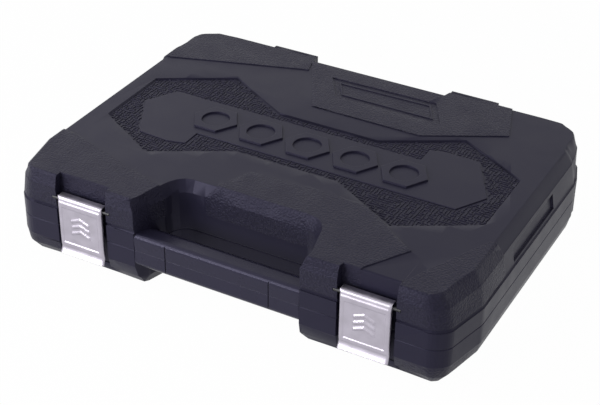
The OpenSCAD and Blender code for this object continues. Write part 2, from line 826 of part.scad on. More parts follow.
module extension_bar_250() {
    color(steel_color) translate([ext_xl[0] + ext_xl[2], ext_xl[1], lie_z(ext_xl[3])]) rotate([0, 0, 180])
        extension(ext_xl[2], ext_xl[3], ext_xl[4], ext_xl[5]);
}

module extension_bar_125() {
    extension_at(ext_l);
}

module extension_bar_100() {
    extension_at(ext_m);
}

module extension_bar_50() {
    extension_at(ext_s);
}

// ---- universal joints ----------------------------------------------------

// Yoke along -X from its pivot: a body with a square hole or tang and two ears. The ears' pin runs
// along Y where ears_y is true, and along Z where it is false.
module yoke(od, length, drive, ears_y, male) {
    ear = od * 0.62;
    body = length - ear;
    rotate([0, -90, 0]) difference() {
        union() {
            translate([0, 0, ear - eps]) cylinder(r = od / 2, h = male ? body - drive * 1.2 : body, $fn = 48);
            if (male) translate([0, 0, length - drive * 1.2 - eps]) tang(drive, drive * 1.2);
            intersection() {
                cylinder(r = od / 2, h = ear + eps, $fn = 48);
                rotate([0, 0, ears_y ? 90 : 0]) for (e = [-1, 1])
                    translate([e > 0 ? od * 0.29 : -od * 0.5, -od * 0.26, 0]) cube([od * 0.21, od * 0.52, ear + 1]);
            }
            rotate([0, 0, ears_y ? 90 : 0]) intersection() {
                rotate([0, 90, 0]) cylinder(r = od * 0.26, h = od, center = true, $fn = 48);
                cylinder(r = od / 2, h = od, center = true, $fn = 48);
                difference() {
                    cube([od, od, od], center = true);
                    cube([od * 0.58, od * 2, od * 2], center = true);
                }
            }
        }
        rotate([0, 0, ears_y ? 90 : 0]) rotate([0, 90, 0])
            cylinder(r = od * 0.1 + 0.05, h = od * 2, center = true, $fn = 32);
        if (!male) translate([-drive / 2 - 0.05, -drive / 2 - 0.05, length - drive * 1.2])
            cube([drive + 0.1, drive + 0.1, drive * 2]);
    }
}

// Cross piece: a small block with a pin each way.
module cross_piece(od) {
    intersection() {
        cube([od * 0.5, od * 0.5, od * 0.5], center = true);
        sphere(r = od * 0.36, $fn = 32);
    }
    rotate([90, 0, 0]) cylinder(r = od * 0.1, h = od * 0.94, center = true, $fn = 32);
    cylinder(r = od * 0.1, h = od * 0.94, center = true, $fn = 32);
}

// Pivot x, y, diameter and length of each half of the two joints.
uj_l = [112, 116.5, 26, 35];
uj_s = [-118, -59.5, 13, 19];
module uj_place(u) {
    color(steel_color) translate([u[0], u[1], lie_z(u[2])]) children();
}

module large_universal_joint_input() {
    uj_place(uj_l) yoke(uj_l[2], uj_l[3], drive_l, false, false);
}

module large_universal_joint_cross() {
    uj_place(uj_l) cross_piece(uj_l[2]);
}

module large_universal_joint_output() {
    uj_place(uj_l) rotate([0, 0, 180]) yoke(uj_l[2], uj_l[3], drive_l, true, true);
}

module small_universal_joint_input() {
    uj_place(uj_s) yoke(uj_s[2], uj_s[3], drive_s, false, false);
}

module small_universal_joint_cross() {
    uj_place(uj_s) cross_piece(uj_s[2]);
}

module small_universal_joint_output() {
    uj_place(uj_s) rotate([0, 0, 180]) yoke(uj_s[2], uj_s[3], drive_s, true, true);
}

// ---- ratchets ------------------------------------------------------------

// Head centre x, y; head radius; head thickness; underside z; length; grip radius; grip length; drive.
rat_l = [-156, 108, 20, 23, 23, ratchet_l_len, 14, 105, drive_l];
rat_s = [-64, -74, 12, 14, 27, ratchet_s_len, 8, 62, drive_s];

// Frame of ratchet r: head centre at the origin, handle along +X, underside of the head at z = 0.
module rat_place(r) {
    translate([r[0], r[1], r[4]]) children();
}

function rat_tail(r) = r[5] - r[2];
function rat_axis(r) = r[3] * 0.5;

module ratchet_body(r) {
    hr = r[2];
    t = r[3];
    neck = hr * 0.36;
    difference() {
        union() {
            cylinder(r = hr, h = t, $fn = 64);
            // Pear-shaped shoulder from the head to the shank
            linear_extrude(t) polygon([[hr * 0.35, -hr * 0.93], [hr * 1.55, -neck * 1.1],
                [hr * 1.55, neck * 1.1], [hr * 0.35, hr * 0.93]]);
            x_cylinder(neck, hr * 0.9, rat_tail(r) - r[7], 0, rat_axis(r), 48);
            x_cylinder(neck * 0.8, rat_tail(r) - r[7] - 1, rat_tail(r) - 4, 0, rat_axis(r), 32);
        }
        // Room for the drive wheel, the pawl and the cover
        translate([0, 0, -1]) cylinder(r = r[8] * 0.64 + hr * 0.1 + 0.06, h = t, $fn = 48);
        translate([0, 0, t * 0.2]) cylinder(r = hr * 0.66, h = t, $fn = 48);
        translate([0, -hr * 0.42, t * 0.2]) cube([hr * 1.06, hr * 0.84, t]);
        translate([0, 0, t * 0.88]) linear_extrude(t) polygon(cover_outline(hr, 0.1));
    }
}

function cover_outline(hr, d) =
    concat([for (a = [60 : 15 : 300]) (hr * 0.84 + d) * [cos(a), sin(a)]],
        [[hr * 1.24 + d, -hr * 0.36 - d], [hr * 1.24 + d, hr * 0.36 + d]]);

module ratchet_cover(r) {
    hr = r[2];
    t = r[3];
    difference() {
        translate([0, 0, t * 0.88]) linear_extrude(t * 0.12) polygon(cover_outline(hr, 0));
        // Holes for the release button, the selector's spindle and two screws
        cylinder(r = hr * 0.3 + 0.08, h = t * 2, $fn = 40);
        translate([hr * 0.86, 0, 0]) cylinder(r = hr * 0.12 + 0.08, h = t * 2, $fn = 32);
        for (e = [-1, 1]) translate([-hr * 0.5, e * hr * 0.5, t]) cylinder(r = hr * 0.08, h = 1, center = true, $fn = 20);
    }
}

// Drive wheel with its teeth, hub and square tang; a through bore takes the release button.
wheel_teeth = 30;
module ratchet_drive(r) {
    hr = r[2];
    t = r[3];
    rim = hr * 0.55;
    difference() {
        union() {
            translate([0, 0, t * 0.23]) linear_extrude(t * 0.5)
                polygon([for (i = [0 : wheel_teeth * 2 - 1])
                    (i % 2 == 0 ? rim : rim - hr * 0.045) * [cos(i * 180 / wheel_teeth), sin(i * 180 / wheel_teeth)]]);
            cylinder(r = r[8] * 0.64 + hr * 0.1, h = t * 0.3, $fn = 48);
            mirror([0, 0, 1]) tang(r[8], r[8] * 1.2);
        }
        translate([0, 0, -r[8]]) cylinder(r = hr * 0.14 + 0.06, h = t * 2 + r[8], $fn = 32);
        translate([0, 0, t * 0.55]) cylinder(r = hr * 0.3 + 0.1, h = t, $fn = 32);
    }
}

// Release button: a mushroom head in the cover with a stem down the drive wheel's bore.
module ratchet_button(r) {
    hr = r[2];
    t = r[3];
    translate([0, 0, t * 0.72]) cylinder(r = hr * 0.3, h = t * 0.38, $fn = 40);
    translate([0, 0, -r[8] * 0.7]) cylinder(r = hr * 0.14, h = t * 0.72 + r[8] * 0.7 + eps, $fn = 32);
}

module ratchet_pawl(r) {
    hr = r[2];
    t = r[3];
    translate([0, 0, t * 0.24]) linear_extrude(t * 0.46)
        polygon([[hr * 0.62, -hr * 0.2], [hr * 0.9, -hr * 0.36], [hr * 1.0, -hr * 0.1], [hr * 1.0, hr * 0.1],
            [hr * 0.9, hr * 0.36], [hr * 0.62, hr * 0.2], [hr * 0.6, 0]]);
}

module ratchet_selector(r) {
    hr = r[2];
    t = r[3];
    translate([hr * 0.86, 0, 0]) {
        translate([0, 0, t * 0.74]) cylinder(r = hr * 0.12, h = t * 0.28, $fn = 32);
        translate([0, 0, t * 1.01]) {
            cylinder(r = hr * 0.26, h = t * 0.13, $fn = 40);
            linear_extrude(t * 0.13) polygon([[0, -hr * 0.25], [hr * 0.52, -hr * 0.13], [hr * 0.6, 0],
                [hr * 0.52, hr * 0.13], [0, hr * 0.25]]);
        }
    }
}

// Soft grip: a waisted sleeve with finger rings and a domed end, bored for the shank's core.
module ratchet_grip(r) {
    gr = r[6];
    gl = r[7];
    core = r[2] * 0.36 * 0.8;
    translate([rat_tail(r) - gl, 0, rat_axis(r)]) rotate([0, 90, 0]) difference() {
        rotate_extrude($fn = 48) polygon(concat([[0, 0], [gr * 0.78, 0], [gr * 0.95, 3]],
            [for (i = [1 : 15]) [gr * (0.9 + (i % 2 == 0 ? 0.06 : 0) - 0.05 * sin(i * 11)), 3 + i * (gl - 16) / 16]],
            [[gr, gl - 10], [gr, gl - 4], [gr * 0.8, gl], [0, gl]]));
        translate([0, 0, -1]) cylinder(r = core, h = gl - 3, $fn = 32);
    }
}

module large_ratchet_body() {
    color(steel_color) rat_place(rat_l) ratchet_body(rat_l);
}

module large_ratchet_grip() {
    color(grip_color) rat_place(rat_l) ratchet_grip(rat_l);
}

module large_ratchet_cover() {
    color(steel_color) rat_place(rat_l) ratchet_cover(rat_l);
}

module large_ratchet_pawl() {
    color(steel_color) rat_place(rat_l) ratchet_pawl(rat_l);
}

module large_ratchet_selector() {
    color(grip_color) rat_place(rat_l) ratchet_selector(rat_l);
}

module large_ratchet_drive() {
    color(steel_color) rat_place(rat_l) ratchet_drive(rat_l);
}

module large_ratchet_button() {
    color(steel_color) rat_place(rat_l) ratchet_button(rat_l);
}

module small_ratchet_body() {
    color(steel_color) rat_place(rat_s) ratchet_body(rat_s);
}

module small_ratchet_grip() {
    color(grip_color) rat_place(rat_s) ratchet_grip(rat_s);
}

module small_ratchet_cover() {
    color(steel_color) rat_place(rat_s) ratchet_cover(rat_s);
}

module small_ratchet_pawl() {
    color(steel_color) rat_place(rat_s) ratchet_pawl(rat_s);
}

module small_ratchet_selector() {
    color(grip_color) rat_place(rat_s) ratchet_selector(rat_s);
}

module small_ratchet_drive() {
    color(steel_color) rat_place(rat_s) ratchet_drive(rat_s);
}

module small_ratchet_button() {
    color(steel_color) rat_place(rat_s) ratchet_button(rat_s);
}

// ---- sliding T-bar, spinner and hexagon keys -----------------------------

tbar = [-50, -59.3, 115, 3.2];
tbar_z = deck_z - 1.5;
slider_x = 7;
slider_od = 12;
module sliding_t_bar() {
    color(steel_color) difference() {
        x_cylinder(tbar[3], tbar[0], tbar[0] + tbar[2], tbar[1], tbar_z, 40);
        // Grooves that stop the slider at both ends
        for (x = [tbar[0] + 4, tbar[0] + tbar[2] - 5])
            translate([x, tbar[1], tbar_z]) rotate([0, 90, 0]) rotate_extrude($fn = 40)
                polygon([[tbar[3] - 0.5, 0], [tbar[3] + 1, 0], [tbar[3] + 1, 1], [tbar[3] - 0.5, 1]]);
    }
}

module t_bar_slider() {
    color(steel_color) translate([slider_x, tbar[1], tbar_z]) difference() {
        union() {
            translate([0, 0, -6]) cylinder(r = slider_od / 2, h = 12, $fn = 48);
            translate([0, 0, 6 - eps]) tang(drive_s, 8);
        }
        rotate([0, 90, 0]) cylinder(r = tbar[3] + 0.08, h = 20, center = true, $fn = 40);
    }
}

// x0, y, length, grip radius, grip length.
spinner = [-76, -38.5, 150, 13.5, 88];
module spinner_shank() {
    color(steel_color) translate([spinner[0], spinner[1], lie_z(27)]) {
        x_cylinder(3.9, spinner[4] - 20, spinner[2] - 10, 0, 0, 40);
        x_cylinder(5.2, spinner[2] - 24, spinner[2] - 8, 0, 0, 40);
        translate([spinner[2] - 8 - eps, 0, 0]) rotate([0, 90, 0]) tang(drive_s, 8);
    }
}

module spinner_grip() {
    gr = spinner[3];
    gl = spinner[4];
    color(grip_color) translate([spinner[0], spinner[1], lie_z(27)]) rotate([0, 90, 0]) difference() {
        rotate_extrude($fn = 60) polygon([[0, 0], [gr * 0.55, 0], [gr * 0.86, 3], [gr, 9], [gr, gl * 0.45],
            [gr * 0.88, gl * 0.66], [gr * 0.74, gl * 0.78], [gr * 0.8, gl * 0.9], [gr * 0.72, gl - 2],
            [gr * 0.6, gl], [0, gl]]);
        // Six flutes
        for (a = [0 : 60 : 300]) rotate([0, 0, a])
            translate([gr + 1.6, 0, 6]) cylinder(r = 3.4, h = gl * 0.5, $fn = 32);
        translate([0, 0, gl - 20]) cylinder(r = 3.9, h = 30, $fn = 40);
        // Square hole in the end for a drive tool
        translate([-drive_s / 2, -drive_s / 2, -1]) cube([drive_s, drive_s, 10]);
    }
}

// Nested hexagon keys lie flat, the largest outermost, each with its short arm towards the front.
key_sizes = [2.5, 2, 1.5];
key_at = [-87.7, -69.2];
key_pitch = [3, 3.2];
key_len = 43;
key_arm = 14;
key_floor = deck_z - 3.5;
module hex_key(af) {
    r = af / 2 / cos(30);
    bend = af * 1.6;
    translate([-key_len, 0, r]) {
        rotate([0, 90, 0]) cylinder(r = r, h = key_len - bend, $fn = 6);
        translate([key_len - bend - eps, -bend, 0]) rotate_extrude(angle = 90, $fn = 40)
            translate([bend, 0]) rotate([0, 0, 90]) circle(r = r, $fn = 6);
        translate([key_len - eps, -bend + eps, 0]) rotate([90, 0, 0]) rotate([0, 0, 90])
            cylinder(r = r, h = key_arm - bend, $fn = 6);
    }
}

module hex_keys() {
    color(grip_color) for (i = [0 : 2])
        translate([key_at[0] - i * key_pitch[0], key_at[1] - i * key_pitch[1], key_floor])
            hex_key(key_sizes[i]);
}

// L-shaped pocket of the keys.
key_room = 1.6;
module key_pocket() {
    nest = 2 * key_pitch;
    far = key_at - nest - [key_len, 0];
    translate([far[0] - 1, far[1] - key_room, key_floor])
        cube([key_at[0] + key_room - far[0] + 1, nest[1] + 2 * key_room, 10]);
    translate([key_at[0] - nest[0] - key_room, far[1] - key_arm - 1, key_floor])
        cube([nest[0] + 2 * key_room, key_arm + nest[1], 10]);
}

// ---- tool tray -----------------------------------------------------------

// Solid surround of a pocket: x0, y0, x1, y1 and the underside z.
module tub(x0, y0, x1, y1, z) {
    translate([x0, y0, z]) cube([x1 - x0, y1 - y0, deck_z - z]);
}

tub_floor = 1.8;
module tray_surrounds() {
    tub(-184, 17, 170, 66, lie_z(42) - 21 - tub_floor);
    tub(-184, -23.5, 23, 18, lie_z(23) - 13.5 - tub_floor);
    tub(23, -23.5, 180, 18, lie_z(23) - 13.5 - tub_floor);
    tub(-182, 66, 74, 128, lie_z(28) - 17 - tub_floor);
    tub(-182, 87, -134, 128, 4.2);
    tub(74, 62, 181, 131, lie_z(28) - 16 - tub_floor);
    tub(-184, -107, -84, -23.5, lie_z(20) - 12 - tub_floor);
    tub(-80, -88, 80, -23.5, lie_z(27) - 15 - tub_floor);
    tub(-80, -87.5, -48, -58, 10);
    tub(86, -52, 185, -23.5, 11);
    tub(86, -90, 166, -52, deep_floor - tub_floor);
    tub(86, -129, 176, -89, bit_floor - tub_floor);
    tub(-178, -129, -86, -106, loose_floor - tub_floor);
}

module tray_pockets() {
    row_troughs(big_ods, big_lens, big_at[0], big_at[1], row_gap);
    row_troughs(mid_ods, mid_lens, mid_at[0], mid_at[1], row_gap);
    row_troughs(quarter_ods(q1_sizes), even(q1_sizes, small_len), q1_at[0], q1_at[1], small_gap);
    row_troughs(quarter_ods(q2_sizes), even(q2_sizes, small_len), q2_at[0], q2_at[1], small_gap);
    row_troughs(quarter_ods(q3_sizes), even(q3_sizes, small_len), q3_at[0], q3_at[1], small_gap);
    row_troughs(even(star_sizes, 12), even(star_sizes, small_len), star_at[0], star_at[1], small_gap);
    trough_y(spark16[0], spark16[1], spark16[2], spark16[3]);
    trough_x(spark21[0], spark21[2], spark21[1], spark21[3], lie_z(spark21[3]));
    trough_y(holder_at[0], holder_at[1], holder_at[2], holder_at[3]);
    for (e = [ext_l, ext_m, ext_s]) trough_x(e[0], e[2], e[1], e[3], lie_z(e[3]));
    trough_x(ext_xl[0] + ext_xl[2] - 42, 42, ext_xl[1], ext_xl[3], lie_z(ext_xl[3]));
    trough_x(ext_xl[0], ext_xl[2], ext_xl[1], 17, lie_z(ext_xl[3]));
    trough_x(uj_l[0] - uj_l[3], 2 * uj_l[3] + 0.4, uj_l[1], uj_l[2], lie_z(uj_l[2]));
    trough_x(uj_s[0] - uj_s[3], 2 * uj_s[3], uj_s[1], uj_s[2], lie_z(uj_s[2]));
    for (u = [uj_l, uj_s]) joint_relief(u);
    trough_x(spinner[0], spinner[2], spinner[1], 27, lie_z(27));
    // T-bar: a slot as wide as its slider, with a saddle under each end of the bar
    translate([tbar[0] + 4.5, tbar[1] - slider_od / 2 - 0.4, tbar_z - 6.4])
        cube([tbar[2] - 9, slider_od + 0.8, 20]);
    translate([tbar[0] - seat_gap, tbar[1] - tbar[3] - 0.2, tbar_z - tbar[3]])
        cube([tbar[2] + 2 * seat_gap, 2 * tbar[3] + 0.4, 20]);
    key_pocket();
    each_deep(deep_rear, deep_rear_y) cylinder(r = $od / 2 + seat_gap, h = 60, $fn = 48);
    each_deep(deep_front, deep_front_y) cylinder(r = $od / 2 + seat_gap, h = 60, $fn = 48);
    each_bit_place() cylinder(r = 6 + 0.35, h = 40, $fn = 40);
    each_loose_place() cylinder(r = 4 / cos(30) + 0.35, h = 40, $fn = 32);
    translate([adapter_at[0], adapter_at[1], adapter_floor]) cylinder(r = 11 + seat_gap, h = 40, $fn = 48);
    for (r = [rat_l, rat_s]) ratchet_pocket(r);
}

// Room beside a universal joint's pivot for the output yoke's ears to turn.
module joint_relief(u) {
    translate([u[0], u[1], lie_z(u[2])]) rotate([90, 0, 0])
        cylinder(r = u[2] * 0.26 + 0.4, h = u[2] + 2 * seat_gap, center = true, $fn = 48);
}

// Pocket of a ratchet: a round well for the head, a deeper one for the tang, a trough for the handle.
module ratchet_pocket(r) {
    rat_place(r) {
        cylinder(r = r[2] + seat_gap, h = 30, $fn = 64);
        linear_extrude(30) polygon([[0, -r[2] - seat_gap], [r[2] * 1.7, -r[6] - 1], [r[2] * 1.7, r[6] + 1],
            [0, r[2] + seat_gap]]);
        translate([0, 0, -r[8] * 1.2 - 0.5]) cylinder(r = r[8] * 0.64 + 1, h = 30, $fn = 48);
        trough_x(r[2] * 1.6, rat_tail(r) - r[2] * 1.6, 0, 2 * r[6], rat_axis(r));
    }
}

// Inset and height of the steps that keep the surrounds clear of the base's sloping lower walls.
tray_steps = [[17, 4], [12.6, 8], [9, 12], [6.2, 16], [4.3, 20], [wall, 24.3]];

module base_tray() {
    color(tray_color) difference() {
        intersection() {
            union() {
                case_plate(wall, deck_z - deck_t, deck_z);
                tray_surrounds();
            }
            difference() {
                for (step = tray_steps) case_plate(step[0], step[1], case_h);
                front_cuts(wall, 0, case_h + 1);
            }
        }
        tray_pockets();
        hinge_root(part_z);
    }
}

base_shell();
base_handle_half();
base_tray();
lid_shell();
lid_handle_half();
lid_liner();
lid_liner_rim();
hinge_pins();
latch_plate_left();
latch_plate_right();
latch_catch_left();
latch_catch_right();
latch_pin_left();
latch_pin_right();
large_ratchet_body();
large_ratchet_grip();
large_ratchet_cover();
large_ratchet_pawl();
large_ratchet_selector();
large_ratchet_drive();
large_ratchet_button();
small_ratchet_body();
small_ratchet_grip();
small_ratchet_cover();
small_ratchet_pawl();
small_ratchet_selector();
small_ratchet_drive();
small_ratchet_button();
half_inch_sockets_18_to_32();
half_inch_sockets_10_to_17();
quarter_inch_sockets_4_to_7();
quarter_inch_sockets_8_to_12();
quarter_inch_sockets_13_14();
deep_sockets_6_to_13();
star_sockets_e4_to_e8();
bit_sockets();
screwdriver_bits_8mm();
spark_plug_socket_16();
spark_plug_socket_21();
bit_holder();
drive_adapter();
extension_bar_250();
extension_bar_125();
extension_bar_100();
extension_bar_50();
large_universal_joint_input();
large_universal_joint_cross();
large_universal_joint_output();
small_universal_joint_input();
small_universal_joint_cross();
small_universal_joint_output();
sliding_t_bar();
t_bar_slider();
spinner_shank();
spinner_grip();
hex_keys();
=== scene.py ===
"""Looks of a socket wrench set in its moulded carrying case.

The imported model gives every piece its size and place. This script gives the case its grained plastic,
the panel its woven relief, the latches their pressed plates and the tools their finishes, and sets up
a plain studio. Settings and the scene are in metres; outlines and profiles are in millimetres.
"""
import json
import math

import bmesh
import bpy
import numpy as np
from mathutils import Matrix


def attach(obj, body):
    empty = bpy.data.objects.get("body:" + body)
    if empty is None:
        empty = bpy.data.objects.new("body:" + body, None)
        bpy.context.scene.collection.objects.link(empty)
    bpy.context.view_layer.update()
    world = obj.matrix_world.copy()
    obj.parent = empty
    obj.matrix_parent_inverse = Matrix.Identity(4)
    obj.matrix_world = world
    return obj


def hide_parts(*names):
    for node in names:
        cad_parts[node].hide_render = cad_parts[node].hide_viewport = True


bl_info = {
    "name": "Wrench Set Case Looks",
    "version": (1, 0, 0),
    "blender": (4, 5, 0),
    "location": "View3D > Sidebar > Case",
    "description": "Finishes and moulded relief of a socket wrench set in its carrying case",
    "category": "Object",
}

MM = 0.001
CASE_SMOOTH = "finish_case_smooth"
CASE_GRAIN = "finish_case_grained"
CASE_POLISHED = "finish_case_polished"
NICKEL = "finish_pressed_nickel"

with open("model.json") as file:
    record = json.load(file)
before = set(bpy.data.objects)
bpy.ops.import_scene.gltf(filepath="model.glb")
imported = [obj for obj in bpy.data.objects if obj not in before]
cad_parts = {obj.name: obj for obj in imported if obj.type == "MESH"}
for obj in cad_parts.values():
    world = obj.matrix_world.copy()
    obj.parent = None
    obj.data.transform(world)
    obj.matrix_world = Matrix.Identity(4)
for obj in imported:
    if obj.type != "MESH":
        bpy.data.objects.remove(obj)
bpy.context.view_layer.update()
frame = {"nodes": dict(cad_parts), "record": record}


# ---- settings --------------------------------------------------------------

class CasePlastic(bpy.types.PropertyGroup):
    """Finish of the moulded case halves."""
    color: bpy.props.FloatVectorProperty(
        name="Colour", description="Blue-black of the moulded plastic", subtype="COLOR",
        size=3, min=0, max=1, default=(0.0146, 0.0134, 0.0275))
    smooth_roughness: bpy.props.FloatProperty(
        name="Smooth roughness", description="Roughness of the plain, satin areas",
        subtype="FACTOR", min=0, max=1, default=0.42)
    grain_roughness: bpy.props.FloatProperty(
        name="Grain roughness", description="Roughness of the leather-grained areas",
        subtype="FACTOR", min=0, max=1, default=0.46)
    grain_cell: bpy.props.FloatProperty(
        name="Grain cell", description="Width of one cell of the leather grain",
        unit="LENGTH", min=0.0003, max=0.003, default=0.0015)
    grain_height: bpy.props.FloatProperty(
        name="Grain height", description="Height of the leather grain",
        unit="LENGTH", min=0, max=0.0005, default=0.00045)
    gloss: bpy.props.FloatProperty(
        name="Gloss", description="Specular level of the plastic", min=0, max=1, default=0.2)
    gloss_tint: bpy.props.FloatVectorProperty(
        name="Gloss tint", description="Tint of the plastic's reflections", subtype="COLOR",
        size=3, min=0, max=1, default=(0.74, 0.71, 1.0))
    edge_radius: bpy.props.FloatProperty(
        name="Edge radius", description="Radius that softens the moulded edges",
        unit="LENGTH", min=0, max=0.002, default=0.0007)


class StudioSettings(bpy.types.PropertyGroup):
    """Camera, lamps and ground."""
    lens: bpy.props.FloatProperty(
        name="Lens", description="Focal length of the camera", unit="CAMERA", default=86.25)
    azimuth: bpy.props.FloatProperty(
        name="Azimuth", description="Direction of the camera round the case, from its front",
        subtype="ANGLE", default=math.radians(28.26))
    elevation: bpy.props.FloatProperty(
        name="Elevation", description="Height of the camera above the horizon",
        subtype="ANGLE", default=math.radians(32.78))
    roll: bpy.props.FloatProperty(
        name="Roll", description="Turn of the camera about its own axis",
        subtype="ANGLE", default=math.radians(0.796))
    camera_at: bpy.props.FloatVectorProperty(
        name="Camera place", description="Where the camera stands", subtype="XYZ", unit="LENGTH",
        size=3, default=(0.46708, -0.87989, 0.66829))
    sky: bpy.props.FloatProperty(
        name="Sky", description="Strength of the even light from all sides", min=0, max=2,
        default=0.42)


class LidPattern(bpy.types.PropertyGroup):
    """Relief on the lid's sunk panel."""
    bar_pitch: bpy.props.FloatProperty(
        name="Bar pitch", description="Distance between neighbouring bars of the woven relief",
        unit="LENGTH", min=0.002, max=0.006, default=0.0029)
    bar_width: bpy.props.FloatProperty(
        name="Bar width", description="Width of one bar of the woven relief",
        unit="LENGTH", min=0.0005, max=0.002, default=0.0011)
    bar_height: bpy.props.FloatProperty(
        name="Bar height", description="Height of one bar of the woven relief",
        unit="LENGTH", min=0.0002, max=0.001, default=0.0006)
    ring_radius: bpy.props.FloatProperty(
        name="Ring radius", description="Centre-to-corner radius of each raised hexagon ring",
        unit="LENGTH", min=0.01, max=0.022, default=0.0205)
    ring_pitch: bpy.props.FloatProperty(
        name="Ring pitch", description="Distance between neighbouring hexagon rings",
        unit="LENGTH", min=0.03, max=0.05, default=0.043)


SETTINGS = {"case_plastic": CasePlastic, "case_lid_pattern": LidPattern, "case_studio": StudioSettings}


def settings(name):
    return getattr(bpy.context.scene, name)


# ---- node materials ----------------------------------------------------------

class NodeMaterial:
    """A material under construction: nodes are added by type and joined by their socket names."""

    def __init__(self, name):
        self.material = bpy.data.materials.new(name)
        self.material.use_nodes = True
        self.tree = self.material.node_tree
        self.shader = self.tree.nodes["Principled BSDF"]
        self.place = self.add("ShaderNodeTexCoord").outputs["Object"]

    def add(self, kind, inputs=None, **props):
        """Adds a node, sets its properties, and links or sets its inputs."""
        node = self.tree.nodes.new(kind)
        for key, value in props.items():
            setattr(node, key, value)
        for key, value in (inputs or {}).items():
            self.put(node.inputs[key], value)
        return node

    def put(self, socket, value):
        if isinstance(value, bpy.types.NodeSocket):
            self.tree.links.new(value, socket)
        else:
            socket.default_value = value

    def set(self, **values):
        """Sets or links sockets of the principled shader; a socket's spaces are written as _."""
        for key, value in values.items():
            self.put(self.shader.inputs[key.replace("_", " ")], value)

    def math(self, operation, a, b=0.0, c=0.0):
        node = self.add("ShaderNodeMath", operation=operation)
        for socket, value in zip(node.inputs, (a, b, c)):
            self.put(socket, value)
        return node.outputs[0]

    def noise(self, cell, detail=2.0, roughness=0.5, vector=None):
        """Noise whose features are about one cell wide, in metres."""
        node = self.add("ShaderNodeTexNoise", {
            "Vector": vector or self.place, "Scale": 1 / cell, "Detail": detail, "Roughness": roughness})
        return node.outputs["Fac"]

    def cells(self, cell, feature="SMOOTH_F1", randomness=1.0):
        """Distance to the nearest of scattered points about one cell apart, in metres."""
        node = self.add("ShaderNodeTexVoronoi", {
            "Vector": self.place, "Scale": 1 / cell, "Randomness": randomness}, feature=feature)
        return node.outputs["Distance"]

    def span(self, value, low, high, to_low=0.0, to_high=1.0):
        """Maps the range low..high of a value on to_low..to_high, clamped."""
        node = self.add("ShaderNodeMapRange", {
            "Value": value, "From Min": low, "From Max": high, "To Min": to_low, "To Max": to_high})
        return node.outputs["Result"]

    def mix_color(self, factor, a, b):
        node = self.add("ShaderNodeMix", data_type="RGBA")
        self.put(node.inputs["Factor"], factor)
        for socket, value in ((node.inputs[6], a), (node.inputs[7], b)):
            self.put(socket, value if isinstance(value, bpy.types.NodeSocket) else (*value, 1.0))
        return node.outputs[2]

    def soft_edges(self, radius):
        """Normal that rounds every edge of the mesh by a radius in metres."""
        return self.add("ShaderNodeBevel", {"Radius": radius}, samples=4).outputs["Normal"]

    def bump(self, height, distance, strength=1.0, under=None):
        """Normal that a height of 0..1 gives at a real distance in metres."""
        inputs = {"Height": height, "Distance": distance, "Strength": strength}
        if under is not None:
            inputs["Normal"] = under
        return self.add("ShaderNodeBump", inputs).outputs["Normal"]


def scaled(color, factor):
    return tuple(min(1.0, c * factor) for c in color)


def case_smooth_material():
    """Satin moulded plastic: faint flow mottling and a very fine tooth."""
    look = settings("case_plastic")
    m = NodeMaterial(CASE_SMOOTH)
    mottle = m.noise(0.022, 3)
    tooth = m.noise(0.0004, 2)
    m.set(Base_Color=m.mix_color(mottle, scaled(look.color, 0.92), scaled(look.color, 1.08)),
          Roughness=m.span(mottle, 0.3, 0.7, look.smooth_roughness - 0.03, look.smooth_roughness + 0.03),
          Normal=m.bump(tooth, 0.00002, under=m.soft_edges(look.edge_radius)),
          Specular_IOR_Level=look.gloss, Specular_Tint=(*look.gloss_tint, 1.0))
    return m.material


def case_polished_material():
    """The same plastic where the mould is polished: the carrying bar."""
    look = settings("case_plastic")
    m = NodeMaterial(CASE_POLISHED)
    cloud = m.noise(0.015, 3)
    m.set(Base_Color=m.mix_color(cloud, scaled(look.color, 0.92), scaled(look.color, 1.08)),
          Roughness=m.span(cloud, 0.3, 0.7, 0.24, 0.32),
          Normal=m.bump(m.noise(0.0012), 0.00002, under=m.soft_edges(look.edge_radius)),
          Specular_IOR_Level=look.gloss * 1.6, Specular_Tint=(*look.gloss_tint, 1.0))
    return m.material


def case_grain_material():
    """Leather-grained moulded plastic: rounded cells with narrow valleys between them, with painted shade
    darkening the valleys.
    """
    look = settings("case_plastic")
    m = NodeMaterial(CASE_GRAIN)
    cells = m.cells(look.grain_cell)
    fine = m.noise(look.grain_cell * 0.45, 2)
    height = m.math("MULTIPLY_ADD", fine, 0.5, m.math("SUBTRACT", 1.0, cells))
    mottle = m.noise(0.018, 3)
    # painted shade: the colour falls to 0.72 of the plastic's colour in the valleys between the grain cells
    valley_painted_shade = m.span(cells, 0.25, 0.6)
    m.set(Base_Color=m.mix_color(valley_painted_shade, scaled(look.color, 1.0), scaled(look.color, 0.72)),
          Roughness=m.span(mottle, 0.3, 0.7, look.grain_roughness - 0.04, look.grain_roughness + 0.04),
          Normal=m.bump(height, look.grain_height, under=m.soft_edges(look.edge_radius)),
          Specular_IOR_Level=look.gloss * 1.2, Specular_Tint=(*look.gloss_tint, 1.0))
    return m.material


def tray_material():
    """Satin plastic of the inner skins: faint mottling and a fine tooth."""
    m = NodeMaterial("finish_tray_plastic")
    mottle = m.noise(0.02, 3)
    m.set(Base_Color=m.mix_color(mottle, (0.030, 0.030, 0.034), (0.038, 0.038, 0.043)),
          Roughness=m.span(mottle, 0.3, 0.7, 0.42, 0.5), Normal=m.bump(m.noise(0.0005), 0.00003))
    return m.material


def metal_material(name, color, roughness, wear=0.06, tooth=0.0006, tooth_height=0.00001):
    """Plated or plain steel: fine speckle, uneven roughness and faint handling marks."""
    m = NodeMaterial(name)
    cloud = m.noise(0.009, 4)
    m.set(Base_Color=m.mix_color(cloud, scaled(color, 1 - wear), scaled(color, 1 + wear)),
          Metallic=1.0, Roughness=m.span(cloud, 0.3, 0.7, roughness - 0.05, roughness + 0.07),
          Normal=m.bump(m.noise(tooth), tooth_height))
    return m.material


